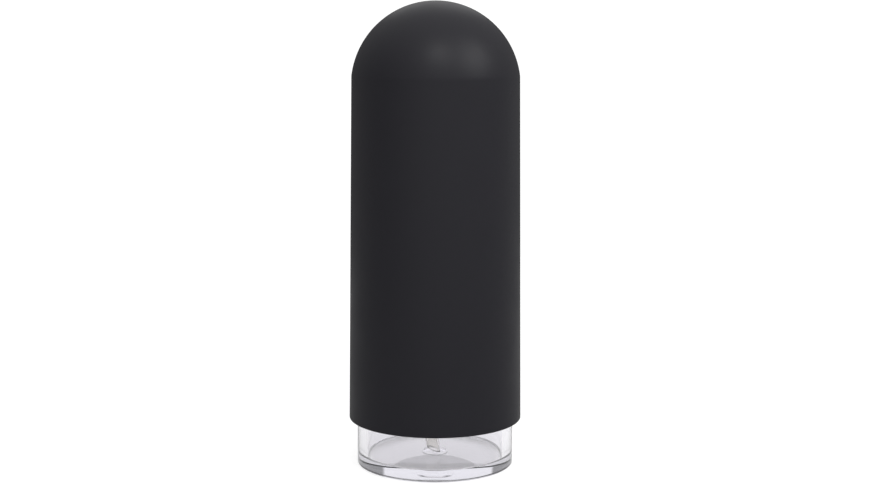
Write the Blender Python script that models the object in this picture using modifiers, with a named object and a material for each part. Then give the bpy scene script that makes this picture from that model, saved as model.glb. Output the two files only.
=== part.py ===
"""A press-top soap dispenser: a clear cup under a domed cover that is itself the pump's button.

Lengths are metres and +Z is up. The origin is the middle of the cup's flat underside, and the
spout points along +Y. Heights are worked out from the cup upwards, piece on piece, so a change
of one size moves everything that stands on it.
"""

import math

import bmesh
import bpy
from mathutils import Matrix, Vector

# Gaps between pieces
SEAT_GAP = 0.0003           # left between two pieces that touch
RUN_GAP = 0.00035           # radial clearance of a piece that slides or turns
PRESS_MARGIN = 0.0008       # left above the pump's guide when the cover is pressed home

# Cup
CUP_RADIUS = 0.03455
CUP_HEIGHT = 0.112
CUP_WALL = 0.0043           # at the floor; the bore opens upwards by the draft
CUP_BORE_DRAFT = math.radians(0.887)
CUP_FLOOR = 0.0046
CUP_FLOOR_RISE = 0.0012     # the floor swells this much towards its middle
CUP_FLOOR_FILLET = 0.0009
CUP_EDGE_ROUND = 0.0008

# Cover
COVER_WALL = 0.0018
COVER_RUN = 0.00065         # radial clearance to the cup's rim with the cover pressed home
COVER_DRAFT = math.radians(0.607)
COVER_REVEAL = 0.0205       # height of clear cup left showing below the cover
COVER_RIM_ROUND = 0.0004
DOME_RISE = 0.0323
DOME_WALL = 0.0028
LEDGE_DROP = 0.0005         # from the foot of the dome down to the ledge on the carrier
SPOUT_HOLE_GAP = 0.0008

# Lid of the cup
LID_INSET = 0.00025
LID_PLATE = 0.0025
LID_PLUG_DEPTH = 0.009
LID_PLUG_CORE = 0.0015      # plastic left behind the seal's groove
LID_ROUND = 0.0008
SEAL_SECTION = 0.0019
SEAL_ABOVE_FOOT = 0.0042    # from the plug's foot up to the middle of the seal
SEAL_SIDE_GAP = 0.0003

# Neck and its thread
NECK_BORE = 0.0112
NECK_WALL = 0.0018
NECK_HEIGHT = 0.0122
THREAD_DEPTH = 0.001
THREAD_PITCH = 0.0042
THREAD_TURNS = 1.3
THREAD_ROOT_WIDTH = 0.0020
THREAD_CREST_WIDTH = 0.0010
THREAD_LEAD = 0.0040        # from the lid's top up to the start of the thread
THREAD_BITE = 0.0003        # how deep a thread's foot is set in its wall

# Screw collar
COLLAR_WALL = 0.0020
COLLAR_WEB = 0.0016
COLLAR_FOOT_GAP = 0.0006
COLLAR_FLUTES = 24
COLLAR_FLUTE_RADIUS = 0.0009
COLLAR_FLUTE_BITE = 0.0005
COLLAR_HOLE_GAP = 0.0006

# Gasket and pump housing
GASKET_THICKNESS = 0.0015
HOUSING_BORE = 0.0067
HOUSING_WALL = 0.0013
HOUSING_FLANGE = 0.0016
HOUSING_FLANGE_GAP = 0.00075
LEDGE_WIDTH = 0.0012        # shelf in the bore that carries the ball cage
VALVE_HOLE = 0.0016
VALVE_WEB = 0.002
SOCKET_DEPTH = 0.010
SOCKET_WALL = 0.0013

# Stem guide
GUIDE_FLANGE = 0.0014
GUIDE_FLANGE_LIP = 0.0022
GUIDE_HUB = 0.0019
GUIDE_HUB_WALL = 0.0018
GUIDE_PLUG_DEPTH = 0.0070

# Moving column of the pump
PUMP_STROKE = 0.013
STEM_RADIUS = 0.0034
STEM_BORE = 0.0022
STEM_THROAT = 0.0017        # narrow end of the bore, under the outlet ball
STEM_THROAT_DEPTH = 0.005
STEM_LIP = 0.0005           # flat rim left round the outlet's cone
STEM_FLARE = 0.0010
STEM_FLARE_HEIGHT = 0.0016
STEM_IN_HEAD = 0.0050
PISTON_HEIGHT = 0.0058
PISTON_LIP = 0.0009
PISTON_WAIST = 0.0008
PISTON_WEB = 0.0020         # height of the web between hub and lips
ROD_FOOT = 0.0016
ROD_IN_STEM = 0.009
ROD_GROOVE = 0.0008
ROD_GROOVE_START = 0.0020   # from the rod's foot up to the start of its two grooves
SPRING_WIRE = 0.0010
SPRING_TURNS = 8
SPRING_PRESSED = 0.0148     # length of the spring with the cover pressed home
SPRING_SIDE_GAP = 0.0009

# Valve balls
INLET_BALL = 0.0024
OUTLET_BALL = 0.0022
BALL_LIFT = 0.0015
SEAT_SLOPE = math.radians(45)
CAGE_WALL = 0.0012
CAGE_DISC = 0.0012
CAGE_HOLE = 0.0013
CAGE_SLOT_WIDTH = 0.0016

# Dip tube
TUBE_RADIUS = 0.0030
TUBE_WALL = 0.0008
TUBE_FOOT_GAP = 0.0005
TUBE_BOW = 0.0017
TUBE_FOOT_OFFSET = -0.0006
TUBE_LEAN = 0.0070          # the foot stands this far towards the side opposite the spout
TUBE_CUT = math.radians(21)

# Head and spout
HEAD_RADIUS = 0.0070
HEAD_HEIGHT = 0.0130
HEAD_SPIGOT_RADIUS = 0.0062
HEAD_SPIGOT_HEIGHT = 0.0060
HEAD_CHAMBER = 0.0029
HEAD_ROOF_GAP = 0.0003
BOSS_WALL = 0.0015
BOSS_LENGTH = 0.016
CHANNEL_RADIUS = 0.0016
SPOUT_ABOVE_STEM = 0.0023
SPOUT_RADIUS = 0.0036
SPOUT_BORE = 0.0019
SPOUT_PLUG_START = 0.0063
SPOUT_STANDOFF = 0.0042     # straight spout left outside the cover before the bend
SPOUT_BEND_RADIUS = 0.008
SPOUT_BEND = math.radians(60)
SPOUT_END = 0.002
TIP_FLANGE = 0.0010
TIP_FLANGE_INSET = 0.0003
TIP_PLUG = 0.0040
TIP_ORIFICE = 0.0009

# Carrier between head and cover
CARRIER_HUB_HEIGHT = 0.0075
CARRIER_HUB_WALL = 0.0027
CARRIER_RING_HEIGHT = 0.0030
CARRIER_RING_WIDTH = 0.0034
CARRIER_SPOKES = 4
CARRIER_SPOKE_WIDTH = 0.0036

# Facets
FINE = 48
MEDIUM = 32
SMALL = 20
TINY = 16
THREAD_FACETS = 24
OVERCUT = 0.001             # how far a cutter runs past the face that it opens

# Heights from the cup upwards
LID_UNDERSIDE = CUP_HEIGHT + SEAT_GAP
LID_TOP = LID_UNDERSIDE + LID_PLATE
NECK_TOP = LID_TOP + NECK_HEIGHT
GASKET_UNDERSIDE = NECK_TOP + SEAT_GAP
HOUSING_FLANGE_UNDERSIDE = GASKET_UNDERSIDE + GASKET_THICKNESS + SEAT_GAP
HOUSING_TOP = HOUSING_FLANGE_UNDERSIDE + HOUSING_FLANGE
COLLAR_WEB_UNDERSIDE = HOUSING_TOP + SEAT_GAP
COLLAR_TOP = COLLAR_WEB_UNDERSIDE + COLLAR_WEB
GUIDE_FLANGE_UNDERSIDE = COLLAR_TOP + SEAT_GAP
GUIDE_TOP = GUIDE_FLANGE_UNDERSIDE + GUIDE_FLANGE + GUIDE_HUB
GUIDE_FOOT = GUIDE_FLANGE_UNDERSIDE - GUIDE_PLUG_DEPTH
HEAD_FOOT = GUIDE_TOP + PUMP_STROKE + PRESS_MARGIN
STEM_TOP = HEAD_FOOT + STEM_IN_HEAD
HEAD_SHOULDER = HEAD_FOOT + HEAD_HEIGHT
SPOUT_HEIGHT = STEM_TOP + SPOUT_ABOVE_STEM
CARRIER_FOOT = HEAD_SHOULDER + SEAT_GAP
CARRIER_TOP = CARRIER_FOOT + CARRIER_HUB_HEIGHT
COVER_LEDGE = CARRIER_TOP + SEAT_GAP
DOME_FOOT = COVER_LEDGE + LEDGE_DROP

# Heights from the stem guide downwards
STEM_FOOT = GUIDE_FOOT - SEAT_GAP - STEM_FLARE_HEIGHT
PISTON_TOP = STEM_FOOT - SEAT_GAP
PISTON_FOOT = PISTON_TOP - PISTON_HEIGHT
ROD_TOP_OF_FOOT = PISTON_FOOT - SEAT_GAP
ROD_UNDERSIDE = ROD_TOP_OF_FOOT - ROD_FOOT
SPRING_TOP = ROD_UNDERSIDE - SEAT_GAP
SPRING_FOOT = SPRING_TOP - SPRING_PRESSED - PUMP_STROKE
CAGE_TOP = SPRING_FOOT - SEAT_GAP
INLET_BALL_TOP = CAGE_TOP - CAGE_DISC - SEAT_GAP - BALL_LIFT
INLET_BALL_CENTRE = INLET_BALL_TOP - INLET_BALL


def seat_drop(ball, hole):
    """How far a ball's centre stays above the foot of its conical seat, less the seat gap."""
    reach = (ball + SEAT_GAP) / math.cos(SEAT_SLOPE)
    return reach - hole * math.tan(SEAT_SLOPE)


INLET_SEAT = INLET_BALL_CENTRE - seat_drop(INLET_BALL, VALVE_HOLE)
OUTLET_MOUTH = STEM_RADIUS - STEM_LIP
OUTLET_CONE = (OUTLET_MOUTH - STEM_THROAT) * math.tan(SEAT_SLOPE)
OUTLET_SEAT = STEM_TOP - OUTLET_CONE
OUTLET_BALL_CENTRE = OUTLET_SEAT + seat_drop(OUTLET_BALL, STEM_THROAT)
HEAD_ROOF = OUTLET_BALL_CENTRE + OUTLET_BALL + BALL_LIFT + HEAD_ROOF_GAP
CAGE_FOOT = INLET_SEAT + (HOUSING_BORE - LEDGE_WIDTH - VALVE_HOLE) * math.tan(SEAT_SLOPE)
HOUSING_LEDGE = CAGE_FOOT - SEAT_GAP
SOCKET_TOP = INLET_SEAT - VALVE_WEB
SOCKET_FOOT = SOCKET_TOP - SOCKET_DEPTH
TUBE_TOP = SOCKET_TOP - SEAT_GAP
TUBE_FOOT = CUP_FLOOR + CUP_FLOOR_RISE + TUBE_FOOT_GAP

# Radii that follow from a neighbour's
NECK_RADIUS = NECK_BORE + NECK_WALL
THREAD_CREST = NECK_RADIUS + THREAD_DEPTH
COLLAR_BORE = THREAD_CREST + RUN_GAP
COLLAR_THREAD_CREST = NECK_RADIUS + RUN_GAP
COLLAR_RADIUS = COLLAR_BORE + COLLAR_WALL
HOUSING_RADIUS = HOUSING_BORE + HOUSING_WALL
GUIDE_PLUG_RADIUS = HOUSING_BORE - SEAT_GAP
COLLAR_HOLE = GUIDE_PLUG_RADIUS + COLLAR_HOLE_GAP
SOCKET_BORE = TUBE_RADIUS + SEAT_GAP
STEM_SOCKET = STEM_RADIUS + SEAT_GAP
ROD_RADIUS = STEM_BORE - SEAT_GAP
PISTON_RADIUS = HOUSING_BORE - SEAT_GAP
SPRING_RADIUS = HOUSING_BORE - SPRING_SIDE_GAP - SPRING_WIRE / 2
SPOUT_SOCKET = SPOUT_RADIUS + SEAT_GAP
BOSS_RADIUS = SPOUT_SOCKET + BOSS_WALL


def cup_bore(height):
    """Radius of the cup's bore, which opens upwards by its draft."""
    return CUP_RADIUS - CUP_WALL + (height - CUP_FLOOR) * math.tan(CUP_BORE_DRAFT)


def cover_radius(height):
    """Outer radius of the cover's skirt, which opens downwards by its draft."""
    tightest = CUP_RADIUS + COVER_RUN + COVER_WALL
    return tightest + (CUP_HEIGHT + PUMP_STROKE - height) * math.tan(COVER_DRAFT)


LID_PLUG_FOOT = CUP_HEIGHT - LID_PLUG_DEPTH
LID_PLUG_RADIUS = cup_bore(LID_PLUG_FOOT) - SEAT_GAP
SEAL_GROOVE_RADIUS = LID_PLUG_RADIUS - SEAL_SECTION - SEAT_GAP
LID_PLUG_BORE = SEAL_GROOVE_RADIUS - LID_PLUG_CORE
SEAL_HEIGHT = LID_PLUG_FOOT + SEAL_ABOVE_FOOT
DOME_FOOT_RADIUS = cover_radius(DOME_FOOT)
DOME_RADIUS = (DOME_FOOT_RADIUS ** 2 + DOME_RISE ** 2) / (2 * DOME_RISE)
DOME_CENTRE = DOME_FOOT + DOME_RISE - DOME_RADIUS
CARRIER_RADIUS = cover_radius(COVER_LEDGE) - COVER_WALL - SEAT_GAP
SPOUT_BEND_START = cover_radius(SPOUT_HEIGHT) + SPOUT_STANDOFF

# Colours as red, green, blue and alpha, with roughness and metallic
FINISHES = {
    "matte_black_abs": ((0.022, 0.022, 0.026, 1.0), 0.55, 0.0),
    "clear_san": ((0.90, 0.90, 0.93, 0.35), 0.05, 0.0),
    "black_pp": ((0.018, 0.018, 0.020, 1.0), 0.40, 0.0),
    "natural_pp": ((0.72, 0.71, 0.68, 0.85), 0.35, 0.0),
    "white_foam": ((0.75, 0.75, 0.73, 1.0), 0.90, 0.0),
    "dark_silicone": ((0.05, 0.05, 0.055, 1.0), 0.60, 0.0),
    "stainless_steel": ((0.56, 0.56, 0.57, 1.0), 0.22, 1.0),
}


def material(finish):
    """The finish's material, made on its first use."""
    if finish in bpy.data.materials:
        return bpy.data.materials[finish]
    colour, roughness, metallic = FINISHES[finish]
    made = bpy.data.materials.new(finish)
    made.use_nodes = True
    shader = made.node_tree.nodes["Principled BSDF"]
    shader.inputs["Base Color"].default_value = colour
    shader.inputs["Alpha"].default_value = colour[3]
    shader.inputs["Roughness"].default_value = roughness
    shader.inputs["Metallic"].default_value = metallic
    return made


def collection(name):
    """The scene's collection of that name, made on its first use."""
    if name not in bpy.data.collections:
        bpy.context.scene.collection.children.link(bpy.data.collections.new(name))
    return bpy.data.collections[name]


def add_part(name, data, finish, height=0.0):
    """A sub-part's object, with its origin on the central axis at that height."""
    part = bpy.data.objects.new(name, data)
    part.location = (0, 0, height)
    data.materials.append(material(finish))
    collection("soap_dispenser").objects.link(part)
    return part


def add_cutter(name, data, height=0.0):
    """A helper object that a Boolean modifier reads and that isn't part of the model."""
    cutter = bpy.data.objects.new(name, data)
    cutter.location = (0, 0, height)
    cutter.hide_render = True
    cutter.display_type = "WIRE"
    collection("cutters").objects.link(cutter)
    return cutter


def combine(part, other, operation):
    """Adds a Boolean modifier to part that takes other away from it or joins it on."""
    boolean = part.modifiers.new(f"{operation.lower()} {other.name}", "BOOLEAN")
    boolean.object = other
    boolean.operation = operation
    boolean.solver = "EXACT"


def round_corners(corners):
    """Turns (radius, height, rounding) corners into points, with an arc at each rounded one."""
    points = []
    steps = 2
    count = len(corners)
    for index, (x, z, rounding) in enumerate(corners):
        here = Vector((x, z))
        before = Vector(corners[index - 1][:2])
        after = Vector(corners[(index + 1) % count][:2])
        if rounding <= 0:
            points.append(here)
            continue
        back = (before - here).normalized()
        ahead = (after - here).normalized()
        half = back.angle(ahead) / 2
        centre = here + (back + ahead).normalized() * rounding / math.sin(half)
        start = here + back * rounding / math.tan(half) - centre
        turn = start.angle_signed(here + ahead * rounding / math.tan(half) - centre)
        for step in range(steps + 1):
            points.append(centre + start @ Matrix.Rotation(turn * step / steps, 2))
    return points


def profile_mesh(name, points, closed, base):
    """A wire mesh of the profile in the XZ plane, with heights counted from base."""
    mesh = bpy.data.meshes.new(name)
    edges = [(i, i + 1) for i in range(len(points) - 1)]
    if closed:
        edges.append((len(points) - 1, 0))
    mesh.from_pydata([(x, 0, z - base) for x, z in points], edges, [])
    return mesh


def spin(part, facets):
    """Turns part's profile round the Z axis."""
    screw = part.modifiers.new("turned", "SCREW")
    screw.axis = "Z"
    screw.angle = 2 * math.pi
    screw.steps = facets
    screw.render_steps = facets
    screw.use_merge_vertices = True
    screw.merge_threshold = 0.00001
    screw.use_smooth_shade = True


def turned(name, corners, finish, facets, base=0.0, closed=True):
    """A turned sub-part. Its corners run down the outer side, and up the inner side."""
    mesh = profile_mesh(name, round_corners(corners), closed, base)
    part = add_part(name, mesh, finish, base)
    spin(part, facets)
    return part


def turned_cutter(name, corners, facets, base):
    """A turned cutter, with corners in the same order as a turned sub-part's."""
    mesh = profile_mesh(name, round_corners(corners), True, base)
    cutter = add_cutter(name, mesh, base)
    spin(cutter, facets)
    return cutter


def cylinder_mesh(name, radius, start, end, facets):
    """A closed cylinder between two points."""
    along = Vector(end) - Vector(start)
    middle = (Vector(end) + Vector(start)) / 2
    place = Matrix.Translation(middle) @ along.to_track_quat("Z", "Y").to_matrix().to_4x4()
    mesh = bpy.data.meshes.new(name)
    solid = bmesh.new()
    bmesh.ops.create_cone(solid, cap_ends=True, segments=facets, radius1=radius,
                          radius2=radius, depth=along.length, matrix=place)
    solid.to_mesh(mesh)
    solid.free()
    return mesh


def box_mesh(name, size, centre, turn=0.0, tilt=0.0):
    """A box of that size, tilted about Y and turned about Z round its centre."""
    place = (Matrix.Translation(centre) @ Matrix.Rotation(turn, 4, "Z")
             @ Matrix.Rotation(tilt, 4, "Y") @ Matrix.Diagonal((*size, 1)))
    mesh = bpy.data.meshes.new(name)
    solid = bmesh.new()
    bmesh.ops.create_cube(solid, size=1, matrix=place)
    solid.to_mesh(mesh)
    solid.free()
    return mesh


def ball(name, radius, height, finish):
    """A valve ball on the central axis."""
    mesh = bpy.data.meshes.new(name)
    solid = bmesh.new()
    bmesh.ops.create_uvsphere(solid, u_segments=TINY, v_segments=TINY // 2, radius=radius)
    solid.to_mesh(mesh)
    solid.free()
    mesh.shade_smooth()
    return add_part(name, mesh, finish, height)


def tube_along(name, points, radius, resolution):
    """A closed rod along the points, made as a bevelled curve and kept as a welded mesh."""
    curve = bpy.data.curves.new(name, "CURVE")
    curve.dimensions = "3D"
    curve.bevel_depth = radius
    curve.bevel_resolution = resolution
    curve.use_fill_caps = True
    spline = curve.splines.new("POLY")
    spline.points.add(len(points) - 1)
    for place, point in zip(spline.points, points):
        place.co = (*point, 1)
    guide = bpy.data.objects.new(f"{name}_curve", curve)
    bpy.context.scene.collection.objects.link(guide)
    ready = guide.evaluated_get(bpy.context.evaluated_depsgraph_get())
    mesh = bpy.data.meshes.new_from_object(ready)
    bpy.data.objects.remove(guide)
    bpy.data.curves.remove(curve)
    solid = bmesh.new()
    solid.from_mesh(mesh)
    bmesh.ops.remove_doubles(solid, verts=solid.verts, dist=0.00001)
    bmesh.ops.recalc_face_normals(solid, faces=solid.faces)
    solid.to_mesh(mesh)
    solid.free()
    mesh.name = name
    mesh.shade_smooth()
    mesh.set_sharp_from_angle(angle=math.radians(40))
    return mesh


def thread_mesh(name, foot, crest, start):
    """A thread's ridge: a trapezium swept up a helix, whose crest sinks into its foot at both ends.

    At angle a the ridge's middle is at start plus pitch times a over a full turn. The crest
    rises from the wall over the first eighth of a turn and falls back over the last.
    """
    outward = math.copysign(1, crest - foot)
    sections = round(THREAD_FACETS * THREAD_TURNS) + 1
    run_out = THREAD_FACETS // 8
    solid = bmesh.new()
    rings = []
    for index in range(sections):
        angle = 2 * math.pi * index / THREAD_FACETS
        height = start + THREAD_PITCH * index / THREAD_FACETS
        rise = min(1, index / run_out, (sections - 1 - index) / run_out)
        sunk = foot + outward * THREAD_BITE / 2
        top = sunk + (crest - sunk) * rise
        half_foot = THREAD_ROOT_WIDTH / 2
        half_crest = half_foot + (THREAD_CREST_WIDTH / 2 - half_foot) * rise
        section = [(foot, -half_foot), (top, -half_crest), (top, half_crest), (foot, half_foot)]
        rings.append([solid.verts.new((radius * math.cos(angle), radius * math.sin(angle), height + offset))
                      for radius, offset in section])
    for low, high in zip(rings, rings[1:]):
        for side in range(4):
            solid.faces.new((low[side], low[side - 1], high[side - 1], high[side]))
    solid.faces.new(rings[0])
    solid.faces.new(rings[-1][::-1])
    bmesh.ops.recalc_face_normals(solid, faces=solid.faces)
    mesh = bpy.data.meshes.new(name)
    solid.to_mesh(mesh)
    solid.free()
    return mesh


def reservoir_cup():
    """The clear cup, with a thick floor that swells a little towards its middle."""
    top = CUP_HEIGHT
    foot = CUP_FLOOR
    flat = cup_bore(foot) - CUP_FLOOR_FILLET
    rings = 5
    swell = [(flat * k / rings, foot + CUP_FLOOR_RISE * (1 + math.cos(math.pi * k / rings)) / 2, 0)
             for k in range(rings)]
    corners = swell + [
        (cup_bore(foot), foot, CUP_FLOOR_FILLET),
        (cup_bore(top), top, CUP_EDGE_ROUND),
        (CUP_RADIUS, top, CUP_EDGE_ROUND),
        (CUP_RADIUS, 0, CUP_EDGE_ROUND),
        (0, 0, 0),
    ]
    return turned("reservoir_cup", corners, "clear_san", FINE, closed=False)


def shoulder_lid():
    """The lid pressed into the cup, with the seal's groove on its plug and the pump's neck on top."""
    groove_top = SEAL_HEIGHT + SEAL_SECTION / 2 + SEAL_SIDE_GAP
    groove_foot = SEAL_HEIGHT - SEAL_SECTION / 2 - SEAL_SIDE_GAP
    rim = CUP_RADIUS - LID_INSET
    corners = [
        (NECK_BORE, NECK_TOP, 0),
        (NECK_RADIUS, NECK_TOP, 0),
        (NECK_RADIUS, LID_TOP, 0),
        (rim, LID_TOP, LID_ROUND),
        (rim, LID_UNDERSIDE, 0),
        (LID_PLUG_RADIUS, LID_UNDERSIDE, 0),
        (LID_PLUG_RADIUS, groove_top, 0),
        (SEAL_GROOVE_RADIUS, groove_top, 0),
        (SEAL_GROOVE_RADIUS, groove_foot, 0),
        (LID_PLUG_RADIUS, groove_foot, 0),
        (LID_PLUG_RADIUS, LID_PLUG_FOOT, 0),
        (LID_PLUG_BORE, LID_PLUG_FOOT, 0),
        (LID_PLUG_BORE, LID_UNDERSIDE, 0),
        (NECK_BORE, LID_UNDERSIDE, 0),
    ]
    lid = turned("shoulder_lid", corners, "black_pp", FINE, base=LID_UNDERSIDE)
    ridge = thread_mesh("neck_thread", NECK_RADIUS - THREAD_BITE, THREAD_CREST, LID_TOP + THREAD_LEAD)
    combine(lid, add_cutter("neck_thread", ridge), "UNION")
    return lid


def lid_seal():
    """The round rubber ring in the groove of the lid's plug."""
    mean = LID_PLUG_RADIUS - SEAL_SECTION / 2
    facets = 8
    mesh = profile_mesh("lid_seal", [
        (mean + SEAL_SECTION / 2 * math.cos(-2 * math.pi * k / facets),
         SEAL_HEIGHT + SEAL_SECTION / 2 * math.sin(-2 * math.pi * k / facets))
        for k in range(facets)], True, SEAL_HEIGHT)
    ring = add_part("lid_seal", mesh, "dark_silicone", SEAL_HEIGHT)
    spin(ring, MEDIUM)
    return ring


def closure_collar():
    """The screw collar, fluted for grip, whose thread hangs just under the neck's."""
    foot = LID_TOP + COLLAR_FOOT_GAP
    corners = [
        (COLLAR_HOLE, COLLAR_TOP, 0),
        (COLLAR_RADIUS, COLLAR_TOP, LID_ROUND),
        (COLLAR_RADIUS, foot, 0),
        (COLLAR_BORE, foot, 0),
        (COLLAR_BORE, COLLAR_WEB_UNDERSIDE, 0),
        (COLLAR_HOLE, COLLAR_WEB_UNDERSIDE, 0),
    ]
    collar = turned("closure_collar", corners, "black_pp", 2 * COLLAR_FLUTES, base=foot)
    drop = (THREAD_ROOT_WIDTH + THREAD_CREST_WIDTH) / 2 + SEAT_GAP
    ridge = thread_mesh("collar_thread", COLLAR_BORE + THREAD_BITE, COLLAR_THREAD_CREST,
                        LID_TOP + THREAD_LEAD - drop)
    combine(collar, add_cutter("collar_thread", ridge), "UNION")
    reach = COLLAR_RADIUS + COLLAR_FLUTE_RADIUS - COLLAR_FLUTE_BITE
    flutes = bpy.data.meshes.new("collar_flutes")
    solid = bmesh.new()
    for index in range(COLLAR_FLUTES):
        angle = 2 * math.pi * (index + 0.5) / COLLAR_FLUTES
        low = foot - OVERCUT
        high = COLLAR_TOP - 2 * LID_ROUND
        middle = Vector((reach * math.cos(angle), reach * math.sin(angle), (low + high) / 2))
        bmesh.ops.create_cone(solid, cap_ends=True, segments=8, radius1=COLLAR_FLUTE_RADIUS,
                              radius2=COLLAR_FLUTE_RADIUS, depth=high - low,
                              matrix=Matrix.Translation(middle))
    solid.to_mesh(flutes)
    solid.free()
    combine(collar, add_cutter("collar_flutes", flutes), "DIFFERENCE")
    return collar


def neck_gasket():
    """The flat foam ring between the neck and the pump's flange."""
    top = GASKET_UNDERSIDE + GASKET_THICKNESS
    corners = [
        (NECK_BORE, top, 0),
        (NECK_RADIUS, top, 0),
        (NECK_RADIUS, GASKET_UNDERSIDE, 0),
        (NECK_BORE, GASKET_UNDERSIDE, 0),
    ]
    return turned("neck_gasket", corners, "white_foam", MEDIUM, base=GASKET_UNDERSIDE)


def pump_housing():
    """The pump's barrel, from its flange on the neck down to the socket of the dip tube."""
    socket_radius = SOCKET_BORE + SOCKET_WALL
    shelf = HOUSING_BORE - LEDGE_WIDTH
    corners = [
        (HOUSING_BORE, HOUSING_TOP, 0),
        (COLLAR_BORE - HOUSING_FLANGE_GAP, HOUSING_TOP, 0),
        (COLLAR_BORE - HOUSING_FLANGE_GAP, HOUSING_FLANGE_UNDERSIDE, 0),
        (HOUSING_RADIUS, HOUSING_FLANGE_UNDERSIDE, 0),
        (HOUSING_RADIUS, HOUSING_LEDGE, 0),
        (socket_radius, SOCKET_TOP, 0),
        (socket_radius, SOCKET_FOOT, 0),
        (SOCKET_BORE, SOCKET_FOOT, 0),
        (SOCKET_BORE, SOCKET_TOP, 0),
        (VALVE_HOLE, SOCKET_TOP, 0),
        (VALVE_HOLE, INLET_SEAT, 0),
        (shelf, HOUSING_LEDGE, 0),
        (HOUSING_BORE, HOUSING_LEDGE, 0),
    ]
    return turned("pump_housing", corners, "natural_pp", MEDIUM, base=HOUSING_FLANGE_UNDERSIDE)


def stem_guide():
    """The bush in the housing's mouth, which guides the stem and holds the collar on."""
    bore = STEM_RADIUS + RUN_GAP
    flange_top = GUIDE_FLANGE_UNDERSIDE + GUIDE_FLANGE
    corners = [
        (bore, GUIDE_TOP, 0),
        (bore + GUIDE_HUB_WALL, GUIDE_TOP, 0),
        (bore + GUIDE_HUB_WALL, flange_top, 0),
        (COLLAR_HOLE + GUIDE_FLANGE_LIP, flange_top, 0),
        (COLLAR_HOLE + GUIDE_FLANGE_LIP, GUIDE_FLANGE_UNDERSIDE, 0),
        (GUIDE_PLUG_RADIUS, GUIDE_FLANGE_UNDERSIDE, 0),
        (GUIDE_PLUG_RADIUS, GUIDE_FOOT, 0),
        (bore, GUIDE_FOOT, 0),
    ]
    return turned("stem_guide", corners, "natural_pp", MEDIUM, base=GUIDE_FLANGE_UNDERSIDE)


def ball_cage():
    """The slotted cap over the inlet ball, which is also the spring's seat."""
    radius = HOUSING_BORE - SEAT_GAP
    disc_foot = CAGE_TOP - CAGE_DISC
    corners = [
        (CAGE_HOLE, CAGE_TOP, 0),
        (radius, CAGE_TOP, 0),
        (radius, CAGE_FOOT, 0),
        (radius - CAGE_WALL, CAGE_FOOT, 0),
        (radius - CAGE_WALL, disc_foot, 0),
        (CAGE_HOLE, disc_foot, 0),
    ]
    cage = turned("ball_cage", corners, "natural_pp", SMALL, base=CAGE_FOOT)
    reach = radius - CAGE_WALL
    for index in range(2):
        slot = box_mesh(f"cage_slot_{index}", (2 * reach, CAGE_SLOT_WIDTH, CAGE_DISC + 2 * OVERCUT),
                        (0, 0, CAGE_TOP - CAGE_DISC / 2), turn=index * math.pi / 2)
        combine(cage, add_cutter(f"cage_slot_{index}", slot), "DIFFERENCE")
    return cage


def return_spring():
    """The pump's spring: one helix of round wire from the cage up to the rod's foot."""
    travel = SPRING_TOP - SPRING_FOOT - SPRING_WIRE
    per_turn = 10
    count = SPRING_TURNS * per_turn
    points = []
    for index in range(count + 1):
        angle = 2 * math.pi * index / per_turn
        height = SPRING_WIRE / 2 + travel * index / count
        points.append((SPRING_RADIUS * math.cos(angle), SPRING_RADIUS * math.sin(angle), height))
    return add_part("return_spring", tube_along("return_spring", points, SPRING_WIRE / 2, 1),
                    "stainless_steel", SPRING_FOOT)


def piston():
    """The sliding seal, with one lip up and one lip down against the barrel."""
    bore = ROD_RADIUS + SEAT_GAP
    middle = (PISTON_TOP + PISTON_FOOT) / 2
    waist = PISTON_RADIUS - PISTON_WAIST
    inner = PISTON_RADIUS - PISTON_LIP
    web = PISTON_WEB / 2
    hub = bore + PISTON_LIP
    corners = [
        (bore, PISTON_TOP, 0),
        (hub, PISTON_TOP, 0),
        (hub, middle + web, 0),
        (inner - PISTON_WAIST, middle + web, 0),
        (inner, PISTON_TOP, 0),
        (PISTON_RADIUS, PISTON_TOP, 0),
        (waist, middle, 0),
        (PISTON_RADIUS, PISTON_FOOT, 0),
        (inner, PISTON_FOOT, 0),
        (inner - PISTON_WAIST, middle - web, 0),
        (hub, middle - web, 0),
        (hub, PISTON_FOOT, 0),
        (bore, PISTON_FOOT, 0),
    ]
    return turned("piston", corners, "natural_pp", SMALL, base=PISTON_FOOT)


def piston_rod():
    """The grooved pin plugged into the stem, whose foot carries the piston and meets the spring."""
    foot = SPRING_RADIUS + SPRING_WIRE / 2
    top = STEM_FOOT + ROD_IN_STEM
    corners = [
        (0, top, 0),
        (ROD_RADIUS, top, 0),
        (ROD_RADIUS, ROD_TOP_OF_FOOT, 0),
        (foot, ROD_TOP_OF_FOOT, 0),
        (foot, ROD_UNDERSIDE, 0),
        (0, ROD_UNDERSIDE, 0),
    ]
    rod = turned("piston_rod", corners, "natural_pp", SMALL, base=ROD_UNDERSIDE, closed=False)
    start = ROD_TOP_OF_FOOT + ROD_GROOVE_START
    for index in range(2):
        angle = math.pi * index
        centre = (ROD_RADIUS * math.cos(angle), ROD_RADIUS * math.sin(angle), (start + top + OVERCUT) / 2)
        groove = box_mesh(f"rod_groove_{index}", (2 * ROD_GROOVE, ROD_GROOVE, top + OVERCUT - start), centre)
        combine(rod, add_cutter(f"rod_groove_{index}", groove), "DIFFERENCE")
    return rod


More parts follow.
